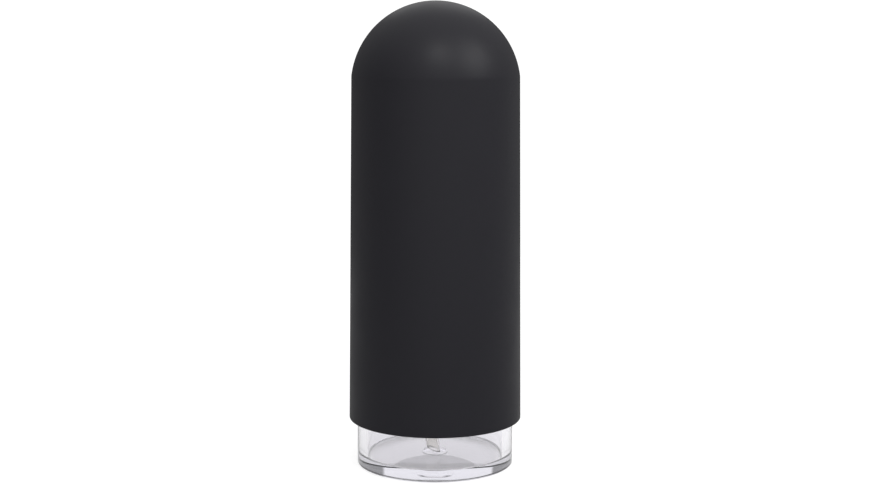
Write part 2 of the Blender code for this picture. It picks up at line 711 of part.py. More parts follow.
def stem():
    """The hollow stem, flared at its foot and coned at its top to seat the outlet ball."""
    throat_foot = STEM_TOP - STEM_THROAT_DEPTH
    corners = [
        (OUTLET_MOUTH, STEM_TOP, 0),
        (STEM_RADIUS, STEM_TOP, 0),
        (STEM_RADIUS, STEM_FOOT + STEM_FLARE_HEIGHT, 0),
        (STEM_RADIUS + STEM_FLARE, STEM_FOOT + STEM_FLARE_HEIGHT, 0),
        (STEM_RADIUS + STEM_FLARE, STEM_FOOT, 0),
        (STEM_BORE, STEM_FOOT, 0),
        (STEM_BORE, throat_foot, 0),
        (STEM_THROAT, throat_foot + STEM_BORE - STEM_THROAT, 0),
        (STEM_THROAT, OUTLET_SEAT, 0),
    ]
    return turned("stem", corners, "natural_pp", SMALL, base=STEM_FOOT)


def dip_tube_points():
    """Points down the dip tube's middle: straight in its socket, then one shallow bow.

    Below the socket a share u runs from 0 at the foot to 1. The bow is 27/4 u (1 - u)^2 times
    its depth, so it meets the socket straight. The foot's offset and lean fade out the same way.
    """
    free = SOCKET_FOOT - TUBE_FOOT
    points = [(0, 0, TUBE_TOP), (0, 0, SOCKET_FOOT)]
    steps = 10
    for index in range(1, steps + 1):
        u = 1 - index / steps
        aside = -TUBE_BOW * 27 / 4 * u * (1 - u) ** 2 + TUBE_FOOT_OFFSET * (1 - u) ** 2
        points.append((aside, -TUBE_LEAN * (1 - u) ** 2, TUBE_FOOT + free * u))
    return points


def dip_tube():
    """The dip tube, cut at a slant where it nearly touches the cup's floor."""
    points = dip_tube_points()
    last = Vector(points[-1])
    onward = (last - Vector(points[-2])).normalized() * OVERCUT
    outline = [*points[:-1], last + onward]
    tube = add_part("dip_tube", tube_along("dip_tube", outline, TUBE_RADIUS, 4), "natural_pp")
    first = Vector(points[0]) + Vector((0, 0, OVERCUT))
    middle = [first, *points[1:-1], last + 2 * onward]
    bore = tube_along("tube_bore", middle, TUBE_RADIUS - TUBE_WALL, 3)
    combine(tube, add_cutter("tube_bore", bore), "DIFFERENCE")
    reach = 4 * TUBE_RADIUS
    corner = Vector((last.x + TUBE_RADIUS, last.y, TUBE_FOOT))
    centre = corner - Vector((math.cos(TUBE_CUT), 0, -math.sin(TUBE_CUT))) * reach / 2
    centre -= Vector((math.sin(TUBE_CUT), 0, math.cos(TUBE_CUT))) * reach / 2
    slant = box_mesh("tube_cut", (2 * reach, reach, reach), centre, tilt=TUBE_CUT)
    combine(tube, add_cutter("tube_cut", slant), "DIFFERENCE")
    return tube


def actuator_head():
    """The head on the stem: valve chamber inside, spigot on top and a boss for the spout."""
    top = HEAD_SHOULDER + HEAD_SPIGOT_HEIGHT
    corners = [
        (0, top, 0),
        (HEAD_SPIGOT_RADIUS, top, 0),
        (HEAD_SPIGOT_RADIUS, HEAD_SHOULDER, 0),
        (HEAD_RADIUS, HEAD_SHOULDER, 0),
        (HEAD_RADIUS, HEAD_FOOT, 0),
        (STEM_SOCKET, HEAD_FOOT, 0),
        (STEM_SOCKET, STEM_TOP + SEAT_GAP, 0),
        (HEAD_CHAMBER, STEM_TOP + SEAT_GAP, 0),
        (HEAD_CHAMBER, HEAD_ROOF, 0),
        (0, HEAD_ROOF, 0),
    ]
    head = turned("actuator_head", corners, "black_pp", MEDIUM, base=HEAD_FOOT, closed=False)
    wall_middle = (HEAD_CHAMBER + HEAD_RADIUS) / 2
    boss = cylinder_mesh("spout_boss", BOSS_RADIUS, (0, wall_middle, SPOUT_HEIGHT),
                         (0, BOSS_LENGTH, SPOUT_HEIGHT), SMALL)
    combine(head, add_cutter("spout_boss", boss), "UNION")
    socket = cylinder_mesh("spout_socket", SPOUT_SOCKET, (0, SPOUT_PLUG_START - SEAT_GAP, SPOUT_HEIGHT),
                           (0, BOSS_LENGTH + OVERCUT, SPOUT_HEIGHT), SMALL)
    combine(head, add_cutter("spout_socket", socket), "DIFFERENCE")
    channel = cylinder_mesh("outlet_channel", CHANNEL_RADIUS, (0, 0, SPOUT_HEIGHT),
                            (0, SPOUT_PLUG_START + OVERCUT, SPOUT_HEIGHT), TINY)
    combine(head, add_cutter("outlet_channel", channel), "DIFFERENCE")
    return head


def spout_points():
    """Points along the spout: straight out through the cover, then a bend down to the mouth."""
    points = [Vector((0, SPOUT_PLUG_START, SPOUT_HEIGHT))]
    steps = 5
    for index in range(steps + 1):
        angle = SPOUT_BEND * index / steps
        points.append(Vector((0, SPOUT_BEND_START + SPOUT_BEND_RADIUS * math.sin(angle),
                              SPOUT_HEIGHT - SPOUT_BEND_RADIUS * (1 - math.cos(angle)))))
    points.append(points[-1] + spout_way_out() * SPOUT_END)
    return points


def spout_way_out():
    """The direction in which the soap leaves the spout's mouth."""
    return Vector((0, math.cos(SPOUT_BEND), -math.sin(SPOUT_BEND)))


def spout():
    """The bent spout, plugged into the head's boss through the hole in the cover."""
    points = spout_points()
    tube = add_part("spout", tube_along("spout", points, SPOUT_RADIUS, 5), "black_pp")
    inner_end = points[0] - Vector((0, OVERCUT, 0))
    mouth = points[-1] + spout_way_out() * OVERCUT
    bore = tube_along("spout_bore", [inner_end, *points[1:-1], mouth], SPOUT_BORE, 3)
    combine(tube, add_cutter("spout_bore", bore), "DIFFERENCE")
    return tube


def spout_tip():
    """The small soft insert in the spout's mouth, which stops drips."""
    plug = SPOUT_BORE - SEAT_GAP
    flange = SPOUT_RADIUS - TIP_FLANGE_INSET
    corners = [
        (TIP_ORIFICE, TIP_FLANGE, 0),
        (flange, TIP_FLANGE, 0),
        (flange, 0, 0),
        (plug, 0, 0),
        (plug, -TIP_PLUG, 0),
        (TIP_ORIFICE, -TIP_PLUG, 0),
    ]
    tip = turned("spout_tip", corners, "dark_silicone", TINY)
    tip.location = spout_points()[-1] + spout_way_out() * SEAT_GAP
    tip.rotation_euler = spout_way_out().to_track_quat("Z", "Y").to_euler()
    return tip


def head_carrier():
    """The spoked ring that centres the head in the cover and passes the push on to it."""
    hub_bore = HEAD_SPIGOT_RADIUS + SEAT_GAP
    hub_radius = hub_bore + CARRIER_HUB_WALL
    ring_foot = CARRIER_TOP - CARRIER_RING_HEIGHT
    ring_bore = CARRIER_RADIUS - CARRIER_RING_WIDTH
    carrier = turned("head_carrier", [
        (ring_bore, CARRIER_TOP, 0),
        (CARRIER_RADIUS, CARRIER_TOP, 0),
        (CARRIER_RADIUS, ring_foot, 0),
        (ring_bore, ring_foot, 0),
    ], "black_pp", FINE, base=CARRIER_FOOT)
    hub = turned_cutter("carrier_hub", [
        (hub_bore, CARRIER_TOP, 0),
        (hub_radius, CARRIER_TOP, 0),
        (hub_radius, CARRIER_FOOT, 0),
        (hub_bore, CARRIER_FOOT, 0),
    ], SMALL, base=CARRIER_FOOT)
    combine(carrier, hub, "UNION")
    start = hub_bore + CARRIER_HUB_WALL / 2
    end = ring_bore + CARRIER_RING_WIDTH / 2
    height = CARRIER_RING_HEIGHT - 2 * LEDGE_DROP
    for index in range(CARRIER_SPOKES):
        angle = 2 * math.pi * (index + 0.5) / CARRIER_SPOKES
        middle = (start + end) / 2
        centre = (middle * math.cos(angle), middle * math.sin(angle), ring_foot + CARRIER_RING_HEIGHT / 2)
        spoke = box_mesh(f"carrier_spoke_{index}", (end - start, CARRIER_SPOKE_WIDTH, height), centre,
                         turn=angle)
        combine(carrier, add_cutter(f"carrier_spoke_{index}", spoke), "UNION")
    return carrier


def cover_shell():
    """The domed cover: a drafted skirt under a cap that is part of a sphere, open at the foot.

    Outer and inner dome are arcs about one centre. The dome's wall is thicker than the skirt's,
    and the step between them is the ledge that rests on the carrier.
    """
    arc = 9
    inner_radius = DOME_RADIUS - DOME_WALL
    outer_end = math.acos((DOME_FOOT - DOME_CENTRE) / DOME_RADIUS)
    inner_end = math.acos((COVER_LEDGE - DOME_CENTRE) / inner_radius)
    outer = [(DOME_RADIUS * math.sin(outer_end * k / arc),
              DOME_CENTRE + DOME_RADIUS * math.cos(outer_end * k / arc), 0) for k in range(arc + 1)]
    inner = [(inner_radius * math.sin(inner_end * k / arc),
              DOME_CENTRE + inner_radius * math.cos(inner_end * k / arc), 0) for k in range(arc, -1, -1)]
    rim = COVER_REVEAL
    skirt = [
        (cover_radius(rim), rim, COVER_RIM_ROUND),
        (cover_radius(rim) - COVER_WALL, rim, COVER_RIM_ROUND),
        (cover_radius(COVER_LEDGE) - COVER_WALL, COVER_LEDGE, 0),
    ]
    cover = turned("cover_shell", outer + skirt + inner, "matte_black_abs", FINE, base=DOME_FOOT,
                   closed=False)
    wall = cover_radius(SPOUT_HEIGHT)
    hole = cylinder_mesh("spout_hole", SPOUT_RADIUS + SPOUT_HOLE_GAP,
                         (0, wall - 2 * COVER_WALL - OVERCUT, SPOUT_HEIGHT),
                         (0, wall + 2 * OVERCUT, SPOUT_HEIGHT), SMALL)
    combine(cover, add_cutter("spout_hole", hole), "DIFFERENCE")
    return cover


def axis(name, height, above=None):
    """An empty on the central axis that marks a joint, hung on the joint before it."""
    empty = bpy.data.objects.new(name, None)
    empty.empty_display_size = 0.01
    empty.parent = above
    empty.location = (0, 0, height - (world_height(above) if above else 0))
    collection("soap_dispenser").objects.link(empty)
    return empty


def world_height(thing):
    """Height of an object in the world, added up along its parents."""
    return thing.location.z + (world_height(thing.parent) if thing.parent else 0)


def carry(joint, *parts):
    """Hangs the parts on a joint's empty and leaves them where they are."""
    for part in parts:
        part.location.z -= world_height(joint)
        part.parent = joint


def main():
    for thing in list(bpy.data.objects):
        bpy.data.objects.remove(thing)
    reservoir_cup()
    lid_axis = axis("lid_lift_axis", LID_UNDERSIDE)
    pump_axis = axis("pump_lift_axis", NECK_TOP, lid_axis)
    collar_axis = axis("collar_turn_axis", LID_TOP, pump_axis)
    inlet_axis = axis("inlet_ball_axis", INLET_SEAT, pump_axis)
    press_axis = axis("press_axis", PISTON_FOOT, pump_axis)
    swivel_axis = axis("swivel_axis", STEM_FOOT, press_axis)
    outlet_axis = axis("outlet_ball_axis", OUTLET_SEAT, swivel_axis)
    cover_axis = axis("cover_lift_axis", HEAD_FOOT, swivel_axis)
    carry(lid_axis, shoulder_lid(), lid_seal())
    carry(pump_axis, pump_housing(), stem_guide(), neck_gasket(), ball_cage(), return_spring(), dip_tube())
    carry(collar_axis, closure_collar())
    carry(inlet_axis, ball("inlet_ball", INLET_BALL, INLET_BALL_CENTRE, "stainless_steel"))
    carry(press_axis, piston())
    carry(swivel_axis, stem(), piston_rod())
    carry(outlet_axis, ball("outlet_ball", OUTLET_BALL, OUTLET_BALL_CENTRE, "stainless_steel"))
    carry(cover_axis, cover_shell(), head_carrier(), actuator_head(), spout(), spout_tip())


main()
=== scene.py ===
"""The finish of a press-top soap dispenser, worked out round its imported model.

The file is laid out as an add-on and is run as a script. Lengths are metres and +Z is up. The origin
is on the cup's axis, at the level that it stands on. The spout points along +Y, away from the camera,
which looks along +Y from a little below the cover's top.

Every piece of the pump is a surface of the same kind: a profile, whose corners may be rounded, that is
carried round an axis or along a line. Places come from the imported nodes' boxes, and what a box doesn't
say, such as a wall or a rounding, is a named size.
"""

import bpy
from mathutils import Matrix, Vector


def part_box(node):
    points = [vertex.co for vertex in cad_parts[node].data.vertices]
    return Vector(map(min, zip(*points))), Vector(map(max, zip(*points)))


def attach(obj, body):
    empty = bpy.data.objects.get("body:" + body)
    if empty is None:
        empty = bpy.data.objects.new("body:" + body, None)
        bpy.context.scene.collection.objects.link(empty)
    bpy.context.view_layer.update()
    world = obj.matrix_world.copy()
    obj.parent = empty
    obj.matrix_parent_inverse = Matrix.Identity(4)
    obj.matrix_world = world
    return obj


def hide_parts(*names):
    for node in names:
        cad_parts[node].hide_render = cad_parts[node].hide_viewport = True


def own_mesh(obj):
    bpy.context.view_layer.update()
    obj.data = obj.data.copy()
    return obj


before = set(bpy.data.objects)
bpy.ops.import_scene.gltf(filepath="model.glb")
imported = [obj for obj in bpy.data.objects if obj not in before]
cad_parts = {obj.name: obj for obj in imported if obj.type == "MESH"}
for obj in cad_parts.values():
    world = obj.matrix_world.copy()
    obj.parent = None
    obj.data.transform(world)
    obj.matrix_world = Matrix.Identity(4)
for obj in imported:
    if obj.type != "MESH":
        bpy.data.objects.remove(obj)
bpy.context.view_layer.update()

import math

import bpy
import numpy as np
from bpy.props import FloatProperty, FloatVectorProperty, PointerProperty

bl_info = {
    "name": "Soap dispenser finish",
    "version": (1, 0, 0),
    "blender": (4, 5, 0),
    "location": "View3D > Sidebar > Dispenser",
    "description": "Fine surfaces, materials and studio for a press-top soap dispenser",
    "category": "Add Mesh",
}

MM = 0.001             # a millimetre in metres
COLUMNS = 256          # points round a large turned piece
FEW_COLUMNS = 96       # points round a small one
ARC_STEPS = 5          # steps of each rounded corner
ARC_SUPPORT = 0.2      # from an arc to the point that keeps its side flat, over the arc's rounding
WALL_STEP = 0.2 * MM   # between the rings of a wall that carries a thread or grooves
GAP = 0.0003           # left between two pieces that touch
SAME = GAP / 100       # radii closer than this are the same
POLE = 1e-9            # a ring narrower than this is a pole
SHARP = math.radians(35)    # faces that meet at more than this show an edge


def linear(code):
    """Linear red, green, blue and alpha of an sRGB hex colour."""
    parts = np.array([int(code[k:k + 2], 16) for k in (0, 2, 4)]) / 255
    parts = np.where(parts <= 0.04045, parts / 12.92, ((parts + 0.055) / 1.055) ** 2.4)
    return (*parts.tolist(), 1.0)


def size(name, description, millimetres):
    """A size, given in millimetres, that the sidebar shows as a distance."""
    return FloatProperty(name=name, description=description, default=millimetres * MM, min=0.0,
                         precision=5, unit="LENGTH", subtype="DISTANCE")


def turn(name, description, degrees):
    """An angle, given in degrees."""
    return FloatProperty(name=name, description=description, default=math.radians(degrees),
                         unit="ROTATION", subtype="ANGLE")


def number(name, description, value):
    """A plain count or ratio."""
    return FloatProperty(name=name, description=description, default=value, min=0.0)


def colour(name, description, code):
    """A colour that starts at an sRGB hex value."""
    return FloatVectorProperty(name=name, description=description, default=linear(code),
                               size=4, min=0.0, max=1.0, subtype="COLOR")


class DispenserSizes(bpy.types.PropertyGroup):
    """Walls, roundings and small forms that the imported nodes' boxes don't say."""

    edge: size("Edge", "Rounding of the small moulded edges", 0.25)
    cup_wall: size("Cup wall", "Wall of the clear cup at its floor", 4.3)
    cup_draft: turn("Cup draft", "Angle by which the cup's bore opens upwards", 0.887)
    cup_floor: size("Cup floor", "Thickness of the cup's floor at its edge", 4.6)
    cup_rise: size("Floor rise", "How far the floor swells towards its middle", 0.6)
    cup_fillet: size("Floor fillet", "Rounding between the cup's floor and bore", 0.9)
    cup_round: size("Cup rounding", "Rounding of the cup's rim and outer foot", 0.8)
    cup_dish: size("Underside dish", "Rise of the underside from its foot ring to its middle", 0.6)
    cup_foot: size("Foot ring", "Width of the flat ring that the cup stands on", 3.8)
    foot_step: size("Foot ring height", "How far the ring stands out of the underside", 0.3)
    floor_mark: size("Floor mark", "Radius of the round ejector mark on the floor", 5.0)
    mark_depth: size("Floor mark depth", "Depth of the ejector mark", 0.4)
    gate_radius: size("Gate mark", "Radius of the moulding mark under the floor", 5.5)
    gate_depth: size("Gate depth", "Depth of the moulding mark", 1.0)
    cover_wall: size("Cover wall", "Wall of the cover's skirt", 1.8)
    cover_draft: turn("Cover draft", "Angle by which the skirt opens downwards", 0.607)
    dome_rise: size("Dome rise", "Height of the dome above the skirt", 32.3)
    dome_wall: size("Dome wall", "Wall of the cover's dome", 2.8)
    ledge_drop: size("Ledge drop", "From the foot of the dome down to the inner ledge", 0.5)
    spout_hole: size("Spout hole", "Radius of the hole in the cover", 4.4)
    lid_plate: size("Lid plate", "Thickness of the lid's plate", 2.5)
    lid_round: size("Lid rounding", "Rounding of the lid's and the collar's outer edge", 0.8)
    plug_core: size("Plug core", "Plastic behind the groove in the lid's plug", 1.5)
    seal_gap: size("Seal gap", "Room above and below the seal in its groove", 0.3)
    neck_bore: size("Neck bore", "Radius of the neck's bore", 11.2)
    neck_height: size("Neck height", "Height of the neck over the lid's plate", 12.2)
    thread_depth: size("Thread depth", "Height of the neck's thread over its wall", 1.0)
    thread_pitch: size("Thread pitch", "Rise of the thread in one turn", 4.2)
    thread_root: size("Thread root", "Width of the thread at its root", 2.0)
    thread_crest: size("Thread crest", "Width of the thread at its crest", 1.0)
    thread_lead: size("Thread lead", "From the lid's plate up to the start of the thread", 4.0)
    thread_turns: number("Thread turns", "Turns of the thread", 1.3)
    collar_wall: size("Collar wall", "Wall of the screw collar", 2.0)
    collar_web: size("Collar web", "Thickness of the collar's top", 1.6)
    collar_hole: size("Collar hole", "Radius of the hole in the collar's top", 7.0)
    flute_radius: size("Flute radius", "Radius of each grip flute", 0.9)
    flute_bite: size("Flute depth", "Depth of each grip flute", 0.5)
    housing_bore: size("Barrel bore", "Radius of the pump's barrel", 6.7)
    housing_wall: size("Barrel wall", "Wall of the pump's barrel", 1.3)
    housing_flange: size("Barrel flange", "Thickness of the barrel's flange", 1.6)
    housing_shelf: size("Cage shelf", "Width of the shelf that carries the ball cage", 1.2)
    valve_hole: size("Valve hole", "Radius of the hole under the inlet ball", 1.6)
    valve_web: size("Valve web", "Plastic between the tube's socket and the valve seat", 2.0)
    socket_depth: size("Socket depth", "Depth of the dip tube's socket", 10.0)
    socket_wall: size("Socket wall", "Wall of the dip tube's socket", 1.3)
    guide_bore: size("Guide bore", "Radius of the stem guide's bore", 3.75)
    guide_hub: size("Guide hub", "Wall of the stem guide's hub", 1.8)
    guide_flange: size("Guide flange", "Thickness of the stem guide's flange", 1.4)
    guide_plug: size("Guide plug", "Depth of the stem guide's plug", 7.0)
    stem_radius: size("Stem radius", "Outer radius of the stem", 3.4)
    stem_bore: size("Stem bore", "Radius of the stem's bore", 2.2)
    stem_throat: size("Stem throat", "Radius of the bore's narrow end", 1.7)
    stem_throat_depth: size("Throat depth", "From the stem's top down to the end of the throat", 5.0)
    stem_lip: size("Stem lip", "Flat rim round the outlet's cone", 0.5)
    stem_flare: size("Stem flare", "Height of the flare at the stem's foot", 1.6)
    piston_lip: size("Piston lip", "Thickness of the piston's lips and hub", 0.9)
    piston_waist: size("Piston waist", "How far the piston is drawn in between its lips", 0.8)
    piston_web: size("Piston web", "Height of the web between the piston's hub and lips", 2.0)
    rod_radius: size("Rod radius", "Radius of the rod in the stem", 1.9)
    rod_foot: size("Rod foot", "Thickness of the rod's foot", 1.6)
    rod_groove: size("Rod groove", "Width and depth of the rod's two grooves", 0.8)
    rod_groove_start: size("Groove start", "From the rod's foot up to its grooves", 2.0)
    spring_wire: size("Spring wire", "Diameter of the spring's wire", 1.0)
    spring_turns: number("Spring turns", "Turns of the return spring", 8.0)
    tube_radius: size("Tube radius", "Outer radius of the dip tube", 3.0)
    tube_wall: size("Tube wall", "Wall of the dip tube", 0.8)
    tube_bow: size("Tube bow", "How far the dip tube bows aside", 1.7)
    tube_offset: size("Tube offset", "How far the tube's foot stands beside the axis", 0.6)
    tube_lean: size("Tube lean", "How far the tube's foot stands before the axis", 7.0)
    tube_cut: turn("Tube cut", "Slant of the dip tube's foot", 21.0)
    head_height: size("Head height", "From the head's foot up to its shoulder", 13.0)
    head_spigot: size("Head spigot", "Radius of the spigot on the head", 6.2)
    head_chamber: size("Head chamber", "Radius of the outlet valve's chamber", 2.9)
    head_roof: size("Head roof", "From the head's foot up to the chamber's roof", 9.64)
    boss_wall: size("Boss wall", "Wall of the spout's boss on the head", 1.5)
    carrier_hub: size("Carrier hub", "Wall of the carrier's hub", 2.7)
    carrier_ring: size("Carrier ring", "Width of the carrier's ring", 3.4)
    carrier_rim: size("Carrier rim", "Height of the carrier's ring", 3.0)
    spoke_width: size("Spoke width", "Width of the carrier's spokes", 3.6)
    spout_radius: size("Spout radius", "Outer radius of the spout", 3.6)
    spout_bore: size("Spout bore", "Radius of the spout's bore", 1.9)
    spout_standoff: size("Spout standoff", "Straight spout between the cover and the bend", 4.2)
    spout_bend_radius: size("Spout bend", "Radius of the spout's bend", 8.0)
    spout_bend: turn("Bend angle", "Angle by which the spout bends down", 60.0)
    spout_end: size("Spout end", "Straight end past the spout's bend", 2.0)
    tip_flange: size("Tip flange", "Thickness of the tip's flange", 1.0)
    tip_inset: size("Tip inset", "How far the tip's flange stands in from the spout", 0.3)
    tip_plug: size("Tip plug", "How deep the tip goes into the spout", 4.0)
    tip_orifice: size("Tip orifice", "Radius of the hole in the tip", 0.9)


class DispenserColours(bpy.types.PropertyGroup):
    """Colours of the dispenser's materials."""

    cover: colour("Cover", "Blue-black of the matte cover", "1a1920")
    cup: colour("Cup", "Faint tint of the clear cup's surface", "fbfafd")
    cup_depth: colour("Cup depth", "Lilac that the clear cup lets through along its floor", "bcbbd2")
    fittings: colour("Fittings", "Black of the lid, collar, head and spout", "161617")
    natural: colour("Natural plastic", "Milky white of the unpigmented pump parts", "dcdad4")
    tube: colour("Dip tube", "Warm white of the translucent tube", "fffdf8")
    foam: colour("Foam", "White of the gasket", "e4e3df")
    rubber: colour("Rubber", "Dark grey of the seals", "26262a")
    steel: colour("Steel", "Grey of the spring and the valve balls", "c4c3c1")
    board: colour("Board", "Grey of the studio's board before its own light is added", "bcbcbc")


def rounded(corners):
    """Radius and height of each point along a profile whose corners may be rounded.

    A (radius, height, rounding) corner becomes an arc about a centre on its bisector, at rounding over
    the sine of half its angle, and a point a little before and after the arc keeps its sides flat.
    """
    spots = np.array([corner[:2] for corner in corners], float)
    points = []
    for index, corner in enumerate(corners):
        here, rounding = spots[index], corner[2]
        if rounding <= 0:
            points.append(here[None])
            continue
        back = spots[index - 1] - here
        ahead = spots[(index + 1) % len(corners)] - here
        back /= np.linalg.norm(back)
        ahead /= np.linalg.norm(ahead)
        half = math.acos(np.clip(back @ ahead, -1, 1)) / 2
        middle = (back + ahead) / np.linalg.norm(back + ahead)
        centre = here + middle * rounding / math.sin(half)
        reach = rounding / math.tan(half)
        start, end = here + back * reach - centre, here + ahead * reach - centre
        sweep = math.atan2(start[0] * end[1] - start[1] * end[0], start @ end)
        angle = sweep * np.arange(ARC_STEPS + 1) / ARC_STEPS
        arc = centre + np.stack([start[0] * np.cos(angle) - start[1] * np.sin(angle),
                                 start[0] * np.sin(angle) + start[1] * np.cos(angle)], axis=1)
        support = ARC_SUPPORT * rounding
        points += [arc[:1] + back * support, arc, arc[-1:] + ahead * support]
    return np.concatenate(points)


def divided(profile, step):
    """The closed profile with points added along each side that is longer than step."""
    pieces = []
    for start, end in zip(profile, np.roll(profile, -1, axis=0)):
        count = max(1, math.ceil(np.linalg.norm(end - start) / step))
        pieces.append(start + (end - start) * np.arange(count)[:, None] / count)
    return np.concatenate(pieces)


def refined(profile, *walls):
    """The profile with points added along its upright sides whose radius is one of the walls'."""
    spots = [profile[:1]]
    for start, end in zip(profile, profile[1:]):
        upright = start[0] == end[0] and any(abs(start[0] - wall) < SAME for wall in walls)
        count = max(1, math.ceil(abs(end[1] - start[1]) / WALL_STEP)) if upright else 1
        spots.append(start + (end - start) * np.arange(1, count + 1)[:, None] / count)
    return np.concatenate(spots)


def angles(columns):
    """Even angles round an axis."""
    return 2 * np.pi * np.arange(columns) / columns


def around(radius, height, columns=FEW_COLUMNS):
    """Rings round the Z axis: x is radius times cos a, y is radius times sin a and z is height.

    Radius and height hold one value a ring, or one a point where the form changes with the angle.
    """
    radius, height = (part if part.ndim == 2 else part[:, None] for part in (radius, height))
    angle = angles(columns)[None]
    return np.stack(np.broadcast_arrays(radius * np.cos(angle), radius * np.sin(angle), height), axis=-1)


def along(centres, ways, radii, side, columns):
    """Rings round a line: centre plus radius times (side cos a plus over sin a).

    Ways are the line's directions, side is square to them, and over is side cross way. Radii hold one
    value a ring, or one a point where the section isn't round.
    """
    side = np.broadcast_to(np.asarray(side, float), centres.shape)
    over = np.cross(side, ways)
    radii = radii if radii.ndim == 2 else radii[:, None]
    angle = angles(columns)[None, :, None]
    spokes = np.cos(angle) * side[:, None] + np.sin(angle) * over[:, None]
    return centres[:, None] + radii[..., None] * spokes


def surface(name, points, faces):
    """An object with these faces, given as arrays of 3 or 4 point numbers, and the points they use."""
    used, corners = np.unique(np.concatenate([part.ravel() for part in faces]), return_inverse=True)
    sizes = np.concatenate([np.full(len(part), part.shape[1]) for part in faces])
    mesh = bpy.data.meshes.new(name)
    mesh.vertices.add(len(used))
    mesh.vertices.foreach_set("co", points.reshape(-1, 3)[used].astype(np.float32).ravel())
    mesh.loops.add(len(corners))
    mesh.loops.foreach_set("vertex_index", corners.ravel().astype(np.int32))
    mesh.polygons.add(len(sizes))
    mesh.polygons.foreach_set("loop_start", (np.cumsum(sizes) - sizes).astype(np.int32))
    mesh.update(calc_edges=True)
    mesh.shade_smooth()
    mesh.set_sharp_from_angle(angle=SHARP)
    piece = bpy.data.objects.new(name, mesh)
    bpy.context.scene.collection.objects.link(piece)
    return piece


def ring_faces(rings, closed):
    """Quads from each ring to the next, as corner numbers by row and column. A pole is one corner."""
    rows, columns = rings.shape[:2]
    index = np.arange(rows * columns).reshape(rows, columns)
    pole = np.ptp(rings, axis=1).max(axis=1) < POLE
    index[pole] = index[pole, :1]
    here = index if closed else index[:-1]
    ahead = np.roll(index, -1, axis=0) if closed else index[1:]
    return np.stack([here, ahead, np.roll(ahead, -1, axis=1), np.roll(here, -1, axis=1)], axis=-1)


def without_folds(quads):
    """The quads as whole quads and, where two corners meet at a pole, as triangles."""
    quads = quads.reshape(-1, 4)
    first = quads[:, 0] == quads[:, 3]
    last = quads[:, 1] == quads[:, 2]
    triangles = np.concatenate([quads[first][:, :3], quads[last][:, [0, 1, 3]]])
    whole = quads[~(first | last)]
    return [part for part in (whole, triangles) if len(part)]


def skin(name, rings, closed=True):
    """A piece whose surface runs from ring to ring, and back to the first unless both ends are poles."""
    return surface(name, rings, without_folds(ring_faces(rings, closed)))


def turned(name, corners, columns=FEW_COLUMNS, closed=True):
    """A turned piece from the rounded corners of its profile, which runs down its outer side."""
    profile = rounded(corners)
    return skin(name, around(profile[:, 0], profile[:, 1], columns), closed)


def sleeve(name, bore, outer, foot, top, inside, outside, columns=FEW_COLUMNS):
    """A plain turned ring whose inner and outer edges are rounded by inside and outside."""
    return turned(name, [
        (bore, top, inside),
        (outer, top, outside),
        (outer, foot, outside),
        (bore, foot, inside),
    ], columns)


def span(node):
    """A turned node's foot, top and outer radius."""
    low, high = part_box(node)
    return low.z, high.z, high.x


def settle(piece, body, node, slot, material=None):
    """Hangs a finished piece on its body, gives it the material of its slot or the material named, and
    hides the imported node it stands for.
    """
    piece.data.materials.append(bpy.data.materials[material or FINISHES[slot]])
    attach(piece, body)
    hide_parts(node)


FINISHES = {
    "black_cover": "spark_eroded_abs",
    "clear_cup": "clear_san",
    "black_fittings": "satin_pp",
    "natural_plastic": "natural_pp",
    "white_foam": "pe_foam",
    "dark_rubber": "silicone_rubber",
    "spring_steel": "stainless_steel",
}


def add_node(tree, kind, inputs=(), **settings):
    """Adds a node with its settings, and fills its inputs with values or with other nodes' sockets."""
    made = tree.nodes.new(kind)
    for key, value in settings.items():
        setattr(made, key, value)
    for key, value in dict(inputs).items():
        if isinstance(value, bpy.types.NodeSocket):
            tree.links.new(value, made.inputs[key])
        else:
            made.inputs[key].default_value = value
    return made


DRIFT_WIDTH = 18 * MM       # of the patches in which a moulded surface drifts
DRIFT_BAND = (0.35, 0.65)   # the noise's usual values, spread over the whole range of roughness


def moulded(name, colour_of, grain, depth, rough, drift, **constants):
    """A moulded surface: fine grain in relief, and slow drifts of roughness and colour.

    Grain is the grain's width and depth its height, in metres. Rough is the least and the most
    roughness, and drift is how much lighter the palest part is. With no drift both are even.
    Constants go on the shader's sockets.
    """
    material = bpy.data.materials.new(name)
    material.use_nodes = True
    tree = material.node_tree
    tree.nodes.clear()
    place = add_node(tree, "ShaderNodeTexCoord").outputs["Object"]
    fine = add_node(tree, "ShaderNodeTexNoise", {"Vector": place, "Scale": 1 / grain, "Detail": 3.0})
    relief = add_node(tree, "ShaderNodeBump", {
        "Height": fine.outputs["Fac"], "Strength": 1.0, "Distance": depth})
    looks = {"Base Color": colour_of, "Roughness": rough[0]}
    if drift:
        slow = add_node(tree, "ShaderNodeTexNoise", {
            "Vector": place, "Scale": 1 / DRIFT_WIDTH, "Detail": 2.0})
        roughness = add_node(tree, "ShaderNodeMapRange", {
            "Value": slow.outputs["Fac"], "From Min": DRIFT_BAND[0], "From Max": DRIFT_BAND[1],
            "To Min": rough[0], "To Max": rough[1]})
        pale = [min(1.0, part * (1 + drift)) for part in colour_of[:3]] + [1.0]
        colours = add_node(tree, "ShaderNodeMix", {0: slow.outputs["Fac"], 6: colour_of, 7: pale},
                           data_type="RGBA")
        looks = {"Base Color": colours.outputs[2], "Roughness": roughness.outputs["Result"]}
    shader = add_node(tree, "ShaderNodeBsdfPrincipled", {
        **looks, "Normal": relief.outputs["Normal"], **constants})
    add_node(tree, "ShaderNodeOutputMaterial", {"Surface": shader.outputs["BSDF"]})
    return tree, shader


